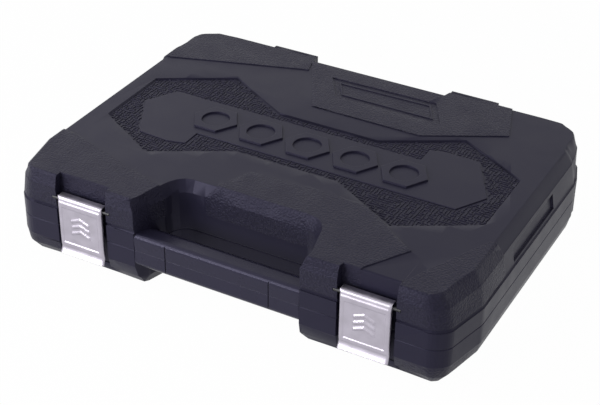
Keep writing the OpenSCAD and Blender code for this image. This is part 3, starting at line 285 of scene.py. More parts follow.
def rubber_material(name, color, roughness=0.62):
    """Soft grip or plain black lever: even colour with a matte, finely pitted skin."""
    m = NodeMaterial(name)
    cloud = m.noise(0.006, 3)
    m.set(Base_Color=m.mix_color(cloud, scaled(color, 0.85), scaled(color, 1.15)),
          Roughness=m.span(cloud, 0.3, 0.7, roughness - 0.05, roughness + 0.05),
          Normal=m.bump(m.noise(0.0005), 0.00004))
    return m.material


MATERIAL_OF_SLOT = {
    "case_plastic": case_smooth_material,
    "tray_plastic": tray_material,
    "latch_nickel": lambda: metal_material(NICKEL, (0.46, 0.43, 0.50), 0.36, 0.14, 0.0013, 0.00005),
    "spring_steel": lambda: metal_material("finish_spring_steel", (0.42, 0.43, 0.45), 0.36),
    "tool_chrome": lambda: metal_material("finish_tool_chrome", (0.66, 0.67, 0.69), 0.2),
    "bit_steel": lambda: metal_material("finish_bit_steel", (0.34, 0.34, 0.35), 0.42),
    "grip_rubber": lambda: rubber_material("finish_grip_rubber", (0.018, 0.018, 0.02)),
    "selector_black": lambda: rubber_material("finish_selector_black", (0.025, 0.025, 0.027), 0.4),
    "key_black": lambda: metal_material("finish_key_black", (0.05, 0.05, 0.052), 0.4),
}


def slot_of_node():
    return {part["node"]: part["material_slot"] for part in frame["record"]["subparts"]}


# ---- outlines of the case, in millimetres ------------------------------------

PART_Z = 37.5
TOP_Z = 81.2
PANEL_FLOOR = 79.7
GRAIN_BOTTOM = 54.7
HALF_WIDTH, REAR_WALL = 195.0, 140.0
# The pads' outlines run past the walls to these lines, where no cut is needed.
PAD_SIDE, PAD_END = 197, 142
# Corner pads and edge pads of the lid; the grained skin covers them.
PADS = [
    [(-197, -76), (-178, -76), (-70, -110.5), (-62, -105.8), (-60, -142), (-197, -142)],
    [(-31, -86), (-19, -58), (56, -55), (83, -58), (132, -92), (136, -94), (115, -129), (114, -142),
     (-38, -142), (-40, -98), (-38.5, -92.5)],
    [(146, -142), (146, -130), (183, -55), (197, -52), (197, -142)],
    [(-197, 76), (-182, 76), (-61, 115.5), (-69, 142), (-197, 142)],
    [(-66, 131), (-28, 59.5), (72, 59), (136, 94.5), (133, 103.5), (117, 142), (-60, 142)]]
# Radius of the sunk panel's two hexagons, and their distance from the middle.
HEXAGON_R, HEXAGON_X = 72.0, 108.0
# Plain island on the panel, the same when turned half round.
ISLAND_HALF = [(-88, -26), (-88, -44), (-103, -48), (-131, -46), (-156, 0), (-141, 26)]
LABEL = [(-36, 113), (-18, 84), (79, 84), (62, 115)]
GAP_SIDE = [(76, -145), (76, -140), (73, -126), (68, -110), (67, -93), (0, -93)]
GAP_CORNER = 17
LATCH_X = 123.4
POCKET_SIDES = (100.05, 146.75)
BOSS_EDGES = (-67, -65, 62, 64)
REAR_CENTRE = (157, 102)


def panel_outline():
    """Sunk panel: corners of the two hexagons, with the neck half as high as a hexagon's radius."""
    r, w, c, n = HEXAGON_R, HEXAGON_R * math.cos(math.radians(30)), HEXAGON_X, HEXAGON_R / 2
    reach = w - (n - r / 2) * math.sqrt(3)
    return [(-c + reach, -n), (c - reach, -n), (c, -r), (c + w, -r / 2), (c + w, r / 2), (c, r),
            (c - reach, n), (-c + reach, n), (-c, r), (-c - w, r / 2), (-c - w, -r / 2), (-c, -r)]


def island_outline():
    """Island outline, anticlockwise."""
    return ISLAND_HALF[::-1] + [(-x, -y) for x, y in ISLAND_HALF[::-1]]


def inside(x, y, outline):
    """Even-odd test of many points against one closed outline."""
    result = np.zeros(x.shape, bool)
    for (x0, y0), (x1, y1) in zip(outline, outline[1:] + outline[:1]):
        if y0 != y1:
            result ^= ((y0 > y) != (y1 > y)) & (x < (x1 - x0) * (y - y0) / (y1 - y0) + x0)
    return result


def nearest(x, y, path):
    """Nearest points of an open path, and the distances to them."""
    best = np.full(x.shape, np.inf)
    foot = np.zeros((2, *x.shape))
    for (x0, y0), (x1, y1) in zip(path, path[1:]):
        dx, dy = x1 - x0, y1 - y0
        along = np.clip(((x - x0) * dx + (y - y0) * dy) / (dx ** 2 + dy ** 2), 0, 1)
        px, py = x0 + along * dx, y0 + along * dy
        distance = np.hypot(x - px, y - py)
        closer = distance < best
        best = np.where(closer, distance, best)
        foot = np.where(closer, (px, py), foot)
    return foot, best


def inset(outline, d):
    """Anticlockwise outline moved inwards by d."""
    p = np.array(outline, float)
    a = p - np.roll(p, 1, 0)
    b = np.roll(p, -1, 0) - p
    a /= np.linalg.norm(a, axis=1)[:, None]
    b /= np.linalg.norm(b, axis=1)[:, None]
    na, nb = np.stack([-a[:, 1], a[:, 0]], 1), np.stack([-b[:, 1], b[:, 0]], 1)
    return p + d * (na + nb) / (1 + (na * nb).sum(1))[:, None]


def ramp(value, low, high):
    """0 below low, 1 above high and smooth between."""
    t = np.clip((value - low) / (high - low), 0, 1)
    return t * t * (3 - 2 * t)


# ---- shaping of the case skins -------------------------------------------------

def old_rear_radius():
    """Distance from the rear corner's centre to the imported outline, against the angle."""
    mesh = frame["nodes"]["base_shell"].data
    points = np.empty(len(mesh.vertices) * 3)
    mesh.vertices.foreach_get("co", points)
    x, y, z = points.reshape(-1, 3).T / MM
    dx, dy = np.abs(x) - REAR_CENTRE[0], y - REAR_CENTRE[1]
    rim = (np.abs(z - PART_Z) < 0.01) & (dx > -0.5) & (dy > -0.5) & (np.hypot(dx, dy) > 32)
    angle, radius = np.arctan2(dy[rim], dx[rim]), np.hypot(dx[rim], dy[rim])
    steps = np.linspace(0, math.pi / 2, 40)
    outer = np.array([radius[np.abs(angle - a) < 0.06].max(initial=0) for a in steps])
    known = outer > 33
    return steps[known], outer[known]


def recess_path():
    """Right half of the finger recess in plan, with its rear corner as an arc."""
    (x1, y1), r = GAP_SIDE[4], GAP_CORNER
    turn = np.linspace(0, math.pi / 2, 7)
    arc = [(x1 - r + r * math.cos(a), y1 - r + r * math.sin(a)) for a in turn]
    return GAP_SIDE[:4] + arc + GAP_SIDE[5:]


LID_INSET = ((52, 52.1, 70, 75.4, 79.4, 81.2, 82), (0, 1.2, 1.2, 3.4, 6.6, 9.4, 8.6))
BASE_INSET = ((0, 2.8, 12, 22), (18, 12.6, 4.6, 0))
# Moves of the skins against height: (heights), (moves).
FRONT_BEVEL_SHIFT = ((70, 75.4, 79.4, 81.2), (0, 0.6, 2.3, 4.4))
REAR_EDGE_SHIFT = ((70, 75.4, 79.4, 81.2), (0, 1.9, 4.7, 7.0))
SIDE_LEAN = ((53, 70, 75.4, 79.4, 81.2), (0, 2.9, 3.9, 3.5, 2.0))
FOOT_FULLER = ((0, 2.8, 12, 22), (1.5, 3.0, 2.2, 0))
# Pull of the recess's lead-in against its distance from the wall.
LEAD_IN_PULL = ((0, 9, 25), (0, 4.4, 0))
RECESS_IN, MOUTH_SLANT = 3.0, 2.5
PACKED_BOSS_TOP, BOSS_TOP, REAR_EDGE_END = 77.2, 80.8, 139.4
FRONT_CORNER, FRONT_FULLER = (184, -131), 2.1
GROOVE_DEPTH = 0.4


def corner_reach(angle, z, lid):
    """Distance from the rear corner's centre to its final outline.

    The outline is two straight walls at X and Y joined by an arc of radius R, all three depending on z.
    """
    if lid:
        wall_x = np.interp(z, (52, 52.1, 70, 81.2, 82), (195, 193.8, 190.9, 183.6, 184.4))
        wall_y = np.interp(z, (52, 52.1, 70, 81.2, 82), (140, 138.8, 138.8, 137.6, 137.8))
        radius = np.interp(z, (52, 70, 82), (38, 34, 24))
    else:
        inset_now = np.interp(z, (0, 2.8, 12, 22), (16.5, 9.6, 2.4, 0))
        wall_x, wall_y, radius = 195 - inset_now, 140 - inset_now, 38 - inset_now
    ux, uy = np.cos(angle), np.sin(angle)
    kx, ky = wall_x - radius - REAR_CENTRE[0], wall_y - radius - REAR_CENTRE[1]
    middle = ux * kx + uy * ky
    arc = middle + np.sqrt(np.maximum(middle ** 2 - kx ** 2 - ky ** 2 + radius ** 2, 0))
    to_x = (wall_x - REAR_CENTRE[0]) / np.maximum(ux, 1e-6)
    to_y = (wall_y - REAR_CENTRE[1]) / np.maximum(uy, 1e-6)
    reach = np.where(to_x * uy <= ky, to_x, arc)
    return np.where(to_y * ux <= kx, to_y, reach)


def drawn(points, lid):
    """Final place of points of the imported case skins.

    Near the finger recess the lead-in's width t becomes t - 4.4 t / 9 up to 9 mm from the wall, and the
    pull fades out at 25 mm; the recess's side walls move in by 3 mm, less at the left of the mouth and
    more at its right. On the lid the side walls lean in with height, the front bevel steepens, the rear
    top edge moves out beside the hinges and the boss tops rise. On the base the foot grows fuller, with
    the rear bosses held. The rear corners then follow corner_reach, the front corners move out a little,
    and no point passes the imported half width.
    """
    x, y, z = points.T / MM
    side, sign = np.abs(x), np.where(x < 0, -1.0, 1.0)
    dx, dy = side - REAR_CENTRE[0], y - REAR_CENTRE[1]
    corner = (dx > 0) & (dy > 0) & (y < 141.5)
    angle = np.arctan2(dy, dx)
    packed_inset = np.interp(z, *(LID_INSET if lid else BASE_INSET))
    share = np.hypot(dx, dy) / (np.interp(angle, *REAR_OUTLINE) - packed_inset)
    new_reach = corner_reach(angle, z, lid)
    # Lead-in of the recess
    level = ramp(z, 70.5, 71.5) if lid else 1 - ramp(z, 9.5, 10.5)
    foot, t = nearest(side, y, recess_path())
    pull = np.interp(t, *LEAD_IN_PULL) * level / np.maximum(t, 1e-6)
    outside = (side > foot[0]) | (y > foot[1])
    pull = np.where(outside & (y < -60), pull, 0)
    side, y = side + (foot[0] - side) * pull, y + (foot[1] - y) * pull
    # Side walls of the recess
    near = ramp(side, 40, 62) * (1 - ramp(side, 82, 98)) * (1 - ramp(y, -100, -84))
    mouth = 1 - ramp(y, -138, -126)
    side = side - np.where(x < 0, RECESS_IN - MOUTH_SLANT * mouth, RECESS_IN + MOUTH_SLANT * mouth) * near
    if lid:
        # Front bevel
        pocket = (side > POCKET_SIDES[0] + 0.1) & (side < POCKET_SIDES[1] - 0.1)
        shift = np.interp(z, *FRONT_BEVEL_SHIFT) * (1 - ramp(y, -129, -112))
        y = np.where(pocket, y, y - shift)
        # Rear edge beside the hinges
        beside = np.interp(x, BOSS_EDGES, (1, 0, 0, 1))
        boss_top = (np.abs(z - PACKED_BOSS_TOP) < 0.1) & (y > 134) & (side > 60) & (side < 112)
        z = np.where(boss_top, BOSS_TOP, z)
        shift = np.interp(z, *REAR_EDGE_SHIFT) * ramp(y, 112, 130)
        y = np.where(y > 138.9, y, np.minimum(y + shift * beside, REAR_EDGE_END))
        # Side walls and their bevels
        side = side - np.interp(z, *SIDE_LEAN) * ramp(side, 150, 184)
    else:
        low = np.interp(z, *FOOT_FULLER)
        # The latch pockets' back walls and the rear bosses stay where they are packed
        latch_pocket = (np.abs(y + 132) < 0.05) & (side > 99) & (side < 148)
        held = latch_pocket | (y > REAR_WALL + 1)
        side = side + low * ramp(side, 140, 172)
        y = y + np.where(held, 0, low * (ramp(y, 90, 118) - ramp(-y, 95, 118)))
    # Rear corners: the share of the old radius is kept on the way from the centre to the new outline
    side = np.where(corner, REAR_CENTRE[0] + share * new_reach * np.cos(angle), side)
    y = np.where(corner, REAR_CENTRE[1] + share * new_reach * np.sin(angle), y)
    # Blunt front corners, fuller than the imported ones
    from_corner = np.hypot(side - FRONT_CORNER[0], y - FRONT_CORNER[1])
    full = FRONT_FULLER * (1 - ramp(from_corner, 4, 26))
    side = np.minimum(side + 0.85 * full, HALF_WIDTH)
    return np.stack([side * sign, y - 0.5 * full, z], 1) * MM


REAR_OUTLINE = old_rear_radius()


def cut_planes(lid):
    """Places where the skins are cut so that their finish can change and their shape can bend."""
    planes = []
    for pad in PADS:
        for a, b in zip(pad, pad[1:] + pad[:1]):
            if not (abs(a[0]) == abs(b[0]) == PAD_SIDE or abs(a[1]) == abs(b[1]) == PAD_END):
                planes.append(((*a, 0), (b[1] - a[1], a[0] - b[0], 0)))
    heights = (GRAIN_BOTTOM, PART_Z + 0.7) if lid else (PART_Z - 0.7, 20.0)
    planes += [((0, 0, h), (0, 0, 1)) for h in heights]
    if lid:
        for edge in (*POCKET_SIDES, POCKET_SIDES[0] + 0.3, POCKET_SIDES[1] - 0.3):
            planes += [((s * edge, 0, 0), (1, 0, 0)) for s in (-1, 1)]
        planes += [((e, 0, 0), (1, 0, 0)) for e in BOSS_EDGES]
    return planes


def merged_copy(node):
    """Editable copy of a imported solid: its loose triangles joined and its flat faces made whole."""
    copy = bmesh.new()
    copy.from_mesh(frame["nodes"][node].data)
    bmesh.ops.remove_doubles(copy, verts=copy.verts, dist=2e-6)
    bmesh.ops.dissolve_limit(copy, angle_limit=math.radians(0.2), verts=copy.verts, edges=copy.edges)
    return copy


def clear_panel(copy):
    """Takes the relief out of the sunk panel and closes its floor with one face."""
    faces = list(copy.faces)
    centres = np.array([f.calc_center_median() for f in faces]) / MM
    normals = np.array([f.normal for f in faces])
    x, y, z = centres.T
    within = inside(x, y, [tuple(p) for p in inset(panel_outline(), -0.05)])
    on_edge = inside(x, y, [tuple(p) for p in inset(panel_outline(), 0.3)])
    gone = within & (z > PANEL_FLOOR - 0.02) & ((np.abs(normals[:, 2]) > 0.5) | on_edge)
    bmesh.ops.delete(copy, geom=[f for f, g in zip(faces, gone) if g], context="FACES")
    rim = [e for e in copy.edges if e.is_boundary]
    bmesh.ops.holes_fill(copy, edges=rim, sides=0)


def round_corners(copy):
    """Cuts the skin along rays from each rear corner's centre, so that the corner can become an arc."""
    for s in (-1, 1):
        for a in np.radians(np.arange(6, 90, 6)):
            near = [f for f in copy.faces if any(s * v.co.x > 0.157 and v.co.y > 0.1 for v in f.verts)]
            edges = (e for f in near for e in f.edges)
            corners = (v for f in near for v in f.verts)
            geometry = list({*near, *edges, *corners})
            centre = (s * REAR_CENTRE[0] * MM, REAR_CENTRE[1] * MM, 0)
            across = (-math.sin(a), s * math.cos(a), 0)
            bmesh.ops.bisect_plane(copy, geom=geometry, dist=1e-6, plane_no=across, plane_co=centre)


def part_line(copy):
    """Draws the edges on the parting plane into the wall, so that a fine groove runs there."""
    for vertex in copy.verts:
        if abs(vertex.co.z / MM - PART_Z) < 0.01:
            out = sum((f.normal for f in vertex.link_faces if abs(f.normal.z) < 0.2), vertex.normal * 0)
            out.z = 0
            if out.length > 0.1:
                vertex.co -= out.normalized() * GROOVE_DEPTH * MM


def case_skin(name, node, body, lid, panel=False, zoned=True):
    """Piece that stands for one packed skin of the case, with its grained and its smooth areas."""
    copy = merged_copy(node)
    if panel:
        clear_panel(copy)
    if zoned:
        for at, normal in cut_planes(lid):
            bmesh.ops.bisect_plane(copy, geom=[*copy.verts, *copy.edges, *copy.faces], dist=1e-6,
                                   plane_co=[c * MM for c in at], plane_no=normal)
        round_corners(copy)
    part_line(copy)
    bmesh.ops.triangulate(copy, faces=copy.faces)
    mesh = bpy.data.meshes.new(name)
    copy.to_mesh(mesh)
    copy.free()
    points = np.empty(len(mesh.vertices) * 3)
    mesh.vertices.foreach_get("co", points)
    centres = np.empty(len(mesh.polygons) * 3)
    mesh.polygons.foreach_get("center", centres)
    x, y, z = centres.reshape(-1, 3).T / MM
    if lid:
        grained = (z > GRAIN_BOTTOM) & np.any([inside(x, y, pad) for pad in PADS], axis=0)
    else:
        grained = (z < 20) & (np.abs(x) > 150) & (y < -52)
    if not zoned:
        grained[:] = False
    mesh.polygons.foreach_set("material_index", grained.astype(np.int32))
    mesh.vertices.foreach_set("co", drawn(points.reshape(-1, 3), lid).ravel())
    mesh.update()
    normals = np.empty(len(mesh.polygons) * 3)
    mesh.polygons.foreach_get("normal", normals)
    mesh.polygons.foreach_set("use_smooth", np.abs(normals[2::3]) < 0.97)
    mesh.set_sharp_from_angle(angle=math.radians(16))
    mesh.update()
    finishes = (CASE_SMOOTH, CASE_GRAIN) if zoned else (CASE_POLISHED,)
    piece = link_piece(name, mesh, body, finishes)
    even = piece.modifiers.new("even_shading", "WEIGHTED_NORMAL")
    even.keep_sharp = True
    even.weight = 90
    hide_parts(node)
    return piece


def link_piece(name, mesh, body, materials):
    """Makes a piece of a mesh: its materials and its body."""
    for material in materials:
        mesh.materials.append(bpy.data.materials[material])
    piece = bpy.data.objects.new(name, mesh)
    bpy.context.scene.collection.objects.link(piece)
    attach(piece, body)
    return piece


def mesh_of(name, vertices, faces):
    mesh = bpy.data.meshes.new(name)
    mesh.from_pydata((np.asarray(vertices) * MM).tolist(), [], [list(map(int, f)) for f in faces])
    mesh.update()
    return mesh


def plates(outlines, z0, z1, draft):
    """Prisms over closed outlines from z0 to z1, their tops smaller by the draft."""
    vertices, faces = [], []
    for outline in outlines:
        n, base = len(outline), len(vertices)
        low, high = np.array(outline, float), inset(outline, draft)
        vertices += [(*p, z0) for p in low] + [(*p, z1) for p in high]
        faces += [[base + i for i in reversed(range(n))], [base + n + i for i in range(n)]]
        faces += [[base + i, base + (i + 1) % n, base + n + (i + 1) % n, base + n + i] for i in range(n)]
    return vertices, faces


def ring_grid(outer, inner, z0, z1, draft):
    """Ring between two outlines with as many points each; the section has four corners."""
    n = len(outer)
    outer, inner = np.array(outer, float), np.array(inner, float)
    centre = inner.mean(0)
    shrink = lambda p, d: centre + (p - centre) * (1 - d / np.linalg.norm(p - centre, axis=1))[:, None]
    rows = [(outer, z0), (shrink(outer, draft), z1), (shrink(inner, -draft), z1), (inner, z0)]
    vertices = np.concatenate([np.column_stack([p, np.full(n, z)]) for p, z in rows])
    i, j = np.meshgrid(np.arange(4), np.arange(n), indexing="ij")
    i1, j1 = (i + 1) % 4, (j + 1) % n
    return vertices, np.stack([i * n + j, i * n + j1, i1 * n + j1, i1 * n + j], -1).reshape(-1, 4)


def hexagon_ring(at, radius):
    """Hexagon outside and circle inside; the radius at angle a is r cos 30 / cos(a mod 60 - 30)."""
    a = np.linspace(0, 2 * math.pi, 72, endpoint=False)
    edge = radius * math.cos(math.pi / 6) / np.cos(np.mod(a, math.pi / 3) - math.pi / 6)
    direction = np.stack([np.cos(a), np.sin(a)], 1)
    outer, inner = direction * edge[:, None], direction * radius * 0.56
    return ring_grid(outer + at, inner + at, TOP_Z - 1, 82.0, 0.35)


def weave(seed=7):
    """Short bars on a square grid, each turned along or across at random, on the open part of the panel.

    A bar is a block with drafted sides: its top is 0.25 mm smaller all round than its foot.
    """
    look = settings("case_lid_pattern")
    pitch, width, height = look.bar_pitch / MM, look.bar_width / MM, look.bar_height / MM
    random = np.random.default_rng(seed)
    gx, gy = np.meshgrid(np.arange(-172, 172, pitch), np.arange(-72, 72, pitch))
    x, y = gx.ravel(), gy.ravel()
    along = random.random(x.size) < 0.5
    length = pitch * random.uniform(0.8, 1.35, x.size)
    rise = height * random.uniform(0.8, 1.0, x.size)
    x, y = x + random.uniform(-0.5, 0.5, x.size), y + random.uniform(-0.5, 0.5, x.size)
    keep = inside(x, y, [tuple(p) for p in inset(panel_outline(), 1.7)])
    keep &= ~inside(x, y, [tuple(p) for p in inset(island_outline(), -1.3)])
    x, y, along, length, rise = (v[keep] for v in (x, y, along, length, rise))
    half_x, half_y = np.where(along, length, width) / 2, np.where(along, width, length) / 2
    sx, sy = np.array((-1, 1, 1, -1)), np.array((-1, -1, 1, 1))
    low = np.stack([x[:, None] + half_x[:, None] * sx, y[:, None] + half_y[:, None] * sy,
                    np.full((x.size, 4), PANEL_FLOOR - 0.1)], -1)
    high = np.stack([x[:, None] + (half_x[:, None] - 0.25) * sx, y[:, None] + (half_y[:, None] - 0.25) * sy,
                     np.repeat(PANEL_FLOOR + rise[:, None], 4, 1)], -1)
    block = np.array([(3, 2, 1, 0), (4, 5, 6, 7), (0, 1, 5, 4), (1, 2, 6, 5), (2, 3, 7, 6), (3, 0, 4, 7)])
    faces = (np.arange(x.size)[:, None, None] * 8 + block).reshape(-1, 4)
    return np.concatenate([low, high], 1).reshape(-1, 3), faces


def joined(parts):
    """One list of vertices and faces from several."""
    vertices, faces = [], []
    for v, f in parts:
        faces += [[int(k) + len(vertices) for k in face] for face in f]
        vertices += [tuple(p) for p in v]
    return vertices, faces


# ---- latch plates ----------------------------------------------------------------

LATCH_W, LATCH_T = 41.0, 1.0
LATCH_TOP, LATCH_FRONT, LATCH_H = 66.5, -142.0, 51.5
LATCH_EDGE_TURN = 2.2
RIM_WIDTH, RIM_RISE = 3.4, 0.6
CHEVRON_RISE, CHEVRON_PITCH, CHEVRON_SLOPE = 0.8, 5.6, 0.42


def latch_section(v):
    """Pressed plate from its roof edge (v = 0) over the rolled top down to the flared lip (v = 1).

    Control points in y and z are joined by straight runs and smoothed by repeated averaging.
    """
    y, z, h = LATCH_FRONT, LATCH_TOP, LATCH_H
    control = [(y + 7, z), (y + 3, z), (y + 0.6, z - 0.5), (y, z - 2.6), (y, z - 12), (y - 0.1, z - 30),
               (y, z - h + 10), (y + 0.3, z - h + 7), (y - 0.2, z - h + 4), (y - 1.9, z - h)]
    control = np.array(control)
    run = np.concatenate([[0], np.cumsum(np.linalg.norm(np.diff(control, axis=0), axis=1))])
    fine = np.linspace(0, run[-1], 400)
    curve = np.stack([np.interp(fine, run, control[:, k]) for k in (0, 1)], 1)
    for _ in range(60):
        curve[1:-1] = (curve[:-2] + 2 * curve[1:-1] + curve[2:]) / 4
    return np.stack([np.interp(v, fine / run[-1], curve[:, k]) for k in (0, 1)], 1)


def latch_press(u, z):
    """Height of the pressing over the plate: a raised rim, and three chevrons; u is across in mm."""
    top, h = LATCH_TOP, LATCH_H
    rim = RIM_RISE * ramp(np.abs(u), LATCH_W / 2 - RIM_WIDTH - 1, LATCH_W / 2 - RIM_WIDTH)
    rim = np.maximum(rim, RIM_RISE * ramp(z, top - 9.5, top - 8.5))
    rim = np.maximum(rim, RIM_RISE * ramp(-z, -(top - h + 11), -(top - h + 10)))
    lift = np.zeros_like(rim)
    for i in range(3):
        ridge = z - (top - 16 - i * CHEVRON_PITCH - np.abs(u) * CHEVRON_SLOPE)
        band = ramp(ridge, -2.0, -1.3) * (1 - ramp(ridge, 0.6, 1.3)) * (1 - ramp(np.abs(u), 8.2, 9.0))
        lift = np.maximum(lift, CHEVRON_RISE * band)
    return rim + lift


def latch_mesh(name, side):
    """Plate as a grid of u across and v down, its side edges turned back, given its sheet thickness."""
    nu, nv = 97, 121
    u = np.linspace(-1, 1, nu) * LATCH_W / 2
    v = np.linspace(0, 1, nv)
    section = latch_section(v)
    tangent = np.gradient(section, axis=0)
    tangent /= np.linalg.norm(tangent, axis=1)[:, None]
    normal = np.stack([tangent[:, 1], -tangent[:, 0]], 1)
    turn = LATCH_EDGE_TURN
    over = np.clip((np.abs(u) - (LATCH_W / 2 - turn)) / turn, 0, 1)
    drop = turn * (1 - np.sqrt(np.maximum(1 - over ** 2, 0)))
    grid_u = np.repeat(u[:, None], nv, 1)
    grid_z = np.repeat(section[None, :, 1], nu, 0)
    face = ramp(v, 0.16, 0.2) * (1 - ramp(v, 0.86, 0.9))
    press = latch_press(grid_u, grid_z) * face[None, :]
    edge = drop[:, None] * ramp(v, 0.08, 0.2)[None, :] * (1 - 0.6 * ramp(v, 0.86, 1.0))[None, :]
    height = press - edge
    layers = []
    for depth in (0.0, LATCH_T):
        y = section[None, :, 0] + normal[None, :, 0] * (height - depth)
        z = section[None, :, 1] + normal[None, :, 1] * (height - depth)
        layers.append(np.stack([grid_u + side * LATCH_X, y, z], -1).reshape(-1, 3))
    i, j = np.meshgrid(np.arange(nu - 1), np.arange(nv - 1), indexing="ij")
    a, b, c, d = i * nv + j, (i + 1) * nv + j, (i + 1) * nv + j + 1, i * nv + j + 1
    front = np.stack([a, d, c, b], -1).reshape(-1, 4)
    count = nu * nv
    back = front[:, ::-1] + count
    border = np.concatenate([np.arange(nv), np.arange(1, nu) * nv + nv - 1,
                             (nu - 1) * nv + np.arange(nv - 2, -1, -1), np.arange(nu - 2, 0, -1) * nv])
    after = np.roll(border, -1)
    rim = np.stack([border, border + count, after + count, after], -1)
    mesh = mesh_of(name, np.concatenate(layers), np.concatenate([front, back, rim]))
    mesh.polygons.foreach_set("use_smooth", np.ones(len(mesh.polygons), bool))
    mesh.set_sharp_from_angle(angle=math.radians(40))
    return mesh


# ---- operators ---------------------------------------------------------------

class CASE_OT_finish_nodes(bpy.types.Operator):
    """Give every solid of the set the finish of its material slot"""
    bl_idname = "case.finish_nodes"
    bl_label = "Finish the solids"

    def execute(self, context):
        made = {slot: make() for slot, make in MATERIAL_OF_SLOT.items()}
        for node, slot in slot_of_node().items():
            mesh = frame["nodes"][node].data
            mesh.materials.clear()
            mesh.materials.append(made[slot])
        return {"FINISHED"}


class CASE_OT_skins(bpy.types.Operator):
    """Make the moulded skins of the case, grained on their pads"""
    bl_idname = "case.skins"
    bl_label = "Make the case skins"

    def execute(self, context):
        case_grain_material()
        case_polished_material()
        case_skin("case_lid", "lid_shell", "lid", True, panel=True)
        case_skin("case_base", "base_shell", "case_base", False)
        case_skin("carrying_bar_upper", "lid_handle_half", "lid", True, zoned=False)
        case_skin("carrying_bar_lower", "base_handle_half", "case_base", False, zoned=False)
        return {"FINISHED"}


class CASE_OT_lid_relief(bpy.types.Operator):
    """Make the raised island, hexagon rings, label frame and woven relief of the lid"""
    bl_idname = "case.lid_relief"
    bl_label = "Make the lid's relief"

    def execute(self, context):
        look = settings("case_lid_pattern")
        island = plates([island_outline()], PANEL_FLOOR - 0.1, PANEL_FLOOR + 0.8, 0.3)
        rings = [hexagon_ring((i * look.ring_pitch / MM, 0), look.ring_radius / MM) for i in range(-2, 3)]
        frame_ring = ring_grid(inset(LABEL, 5), inset(LABEL, 6.6), TOP_Z - 0.1, TOP_Z + 0.6, 0.2)
        for name, (vertices, faces) in (("panel_island", island), ("raised_rings", joined(rings)),
                                        ("panel_weave", weave()), ("label_frame", frame_ring)):
            link_piece(name, mesh_of(name, vertices, faces), "lid", (CASE_SMOOTH,))
        return {"FINISHED"}


class CASE_OT_latches(bpy.types.Operator):
    """Make the two pressed latch plates"""
    bl_idname = "case.latches"
    bl_label = "Make the latch plates"

    def execute(self, context):
        for side, name in ((-1, "left"), (1, "right")):
            mesh = latch_mesh(f"pressed_latch_{name}", side)
            piece = link_piece(f"pressed_latch_{name}", mesh, f"latch_{name}", (NICKEL,))
            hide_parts(f"latch_plate_{name}")
        return {"FINISHED"}


class CASE_OT_studio(bpy.types.Operator):
    """Set up the ground, the backdrop, the lamps and the camera"""
    bl_idname = "case.studio"
    bl_label = "Set up the studio"

    def execute(self, context):
        make_ground()
        make_sky()
        make_lamps()
        make_camera()
        context.scene.view_settings.view_transform = "Standard"
        return {"FINISHED"}


def white_to_the_eye(tree):
    """1 for rays of the camera, of reflections and through glass, and 0 for all other light."""
    nodes, links = tree.nodes, tree.links
    path = nodes.new("ShaderNodeLightPath")
    seen = nodes.new("ShaderNodeMath")
    seen.operation = "MAXIMUM"
    links.new(path.outputs["Is Camera Ray"], seen.inputs[0])
    links.new(path.outputs["Is Glossy Ray"], seen.inputs[1])
    either = nodes.new("ShaderNodeMath")
    either.operation = "MAXIMUM"
    links.new(seen.outputs[0], either.inputs[0])
    links.new(path.outputs["Is Transmission Ray"], either.inputs[1])
    return either.outputs[0]


# Share of plain white that the camera sees in the ground; the rest is shaded paper with its shadow.
GROUND_WHITE = 0.985


def make_ground():
    """Large pale floor that keeps the case's soft shadow and runs out to white."""
    half = 4.0
    mesh = bpy.data.meshes.new("ground")
    corners = [(-half, -half, 0), (half, -half, 0), (half, half, 0), (-half, half, 0)]
    mesh.from_pydata(corners, [], [(0, 1, 2, 3)])
    ground = bpy.data.objects.new("ground", mesh)
    bpy.context.scene.collection.objects.link(ground)
    material = bpy.data.materials.new("ground_paper")
    material.use_nodes = True
    tree = material.node_tree
    tree.nodes.clear()
    out = tree.nodes.new("ShaderNodeOutputMaterial")
    paper = tree.nodes.new("ShaderNodeBsdfDiffuse")
    paper.inputs["Color"].default_value = (0.82, 0.82, 0.82, 1)
    glow = tree.nodes.new("ShaderNodeEmission")
    blend = tree.nodes.new("ShaderNodeMixShader")
    share = tree.nodes.new("ShaderNodeMath")
    share.operation = "MULTIPLY"
    share.inputs[1].default_value = GROUND_WHITE
    tree.links.new(white_to_the_eye(tree), share.inputs[0])
    tree.links.new(share.outputs[0], blend.inputs["Fac"])
    tree.links.new(paper.outputs[0], blend.inputs[1])
    tree.links.new(glow.outputs[0], blend.inputs[2])
    tree.links.new(blend.outputs[0], out.inputs["Surface"])
    mesh.materials.append(material)


def make_sky():
    """Even light from all sides, plain white to the camera."""
    world = bpy.data.worlds.new("studio_sky")
    bpy.context.scene.world = world
    world.use_nodes = True
    tree = world.node_tree
    back = tree.nodes["Background"]
    seen = white_to_the_eye(tree)
    level = tree.nodes.new("ShaderNodeMapRange")
    level.inputs["To Min"].default_value = settings("case_studio").sky
    level.inputs["To Max"].default_value = 1.0
    tree.links.new(seen, level.inputs["Value"])
    back.inputs["Color"].default_value = (1, 1, 1, 1)
    tree.links.new(level.outputs["Result"], back.inputs["Strength"])


def make_lamp(name, at, aim, size, energy):
    """Square soft box at one point, facing another."""
    data = bpy.data.lights.new(name, "AREA")
    data.size = size
    data.energy = energy
    lamp = bpy.data.objects.new(name, data)
    bpy.context.scene.collection.objects.link(lamp)
    lamp.matrix_world = Matrix.Translation(at) @ facing(np.array(at) - np.array(aim))


def facing(back):
    """Rotation whose +Z points along back and whose X stays level."""
    back = np.array(back, float) / np.linalg.norm(back)
    right = np.cross((0, 0, 1), back)
    right /= np.linalg.norm(right)
    up = np.cross(back, right)
    return Matrix(np.column_stack([right, up, back]).tolist()).to_4x4()


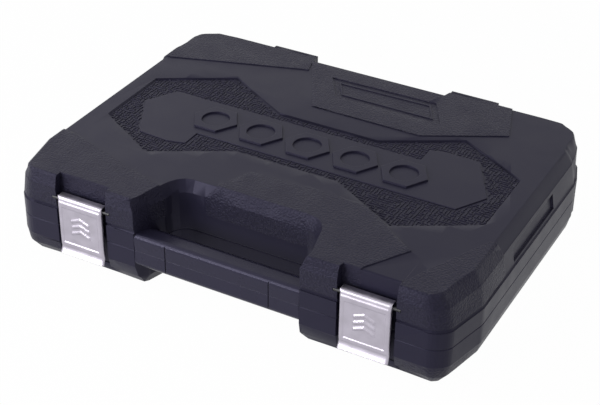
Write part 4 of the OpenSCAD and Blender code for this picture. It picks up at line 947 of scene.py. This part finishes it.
def make_lamps():
    """Three soft boxes: left, low in front, and a weak one from the rear left."""
    centre = (0, 0, 0.05)
    make_lamp("soft_box_left", (-0.85, -0.65, 0.75), centre, 0.6, 6)
    make_lamp("soft_box_front", (-0.6, -1.3, 0.34), centre, 0.4, 9)
    make_lamp("soft_box_rear", (-1.1, 0.9, 0.9), centre, 0.7, 0.7)


def make_camera():
    """Camera from its azimuth, elevation and roll: back points from the case to the camera."""
    s = settings("case_studio")
    a, e, r = s.azimuth, s.elevation, s.roll
    back = np.array((math.sin(a) * math.cos(e), -math.cos(a) * math.cos(e), math.sin(e)))
    level = np.array((math.cos(a), math.sin(a), 0))
    rise = np.cross(back, level)
    right = level * math.cos(r) + rise * math.sin(r)
    up = rise * math.cos(r) - level * math.sin(r)
    data = bpy.data.cameras.new("camera")
    data.sensor_width = 36
    data.lens = s.lens
    camera = bpy.data.objects.new("camera", data)
    bpy.context.scene.collection.objects.link(camera)
    camera.matrix_world = Matrix.Translation(s.camera_at) @ Matrix(
        np.column_stack([right, up, back]).tolist()).to_4x4()
    bpy.context.scene.camera = camera


OPERATORS = [CASE_OT_finish_nodes, CASE_OT_skins, CASE_OT_lid_relief, CASE_OT_latches, CASE_OT_studio]


class CASE_PT_looks(bpy.types.Panel):
    """Lists the pieces of the case's looks"""
    bl_label = "Wrench set case"
    bl_idname = "CASE_PT_looks"
    bl_space_type = "VIEW_3D"
    bl_region_type = "UI"
    bl_category = "Case"

    def draw(self, context):
        for operator in OPERATORS:
            self.layout.operator(operator.bl_idname)
        for name, group in SETTINGS.items():
            box = self.layout.box()
            for key in group.__annotations__:
                box.prop(settings(name), key)


def register():
    for group in SETTINGS.values():
        bpy.utils.register_class(group)
    for name, group in SETTINGS.items():
        setattr(bpy.types.Scene, name, bpy.props.PointerProperty(type=group))
    for cls in (*OPERATORS, CASE_PT_looks):
        bpy.utils.register_class(cls)


def unregister():
    for cls in (CASE_PT_looks, *reversed(OPERATORS)):
        bpy.utils.unregister_class(cls)
    for name, group in SETTINGS.items():
        delattr(bpy.types.Scene, name)
        bpy.utils.unregister_class(group)


def call(operator):
    group, name = operator.bl_idname.split(".")
    getattr(getattr(bpy.ops, group), name)()


def main():
    register()
    for operator in OPERATORS:
        call(operator)


if __name__ == "__main__":
    main()
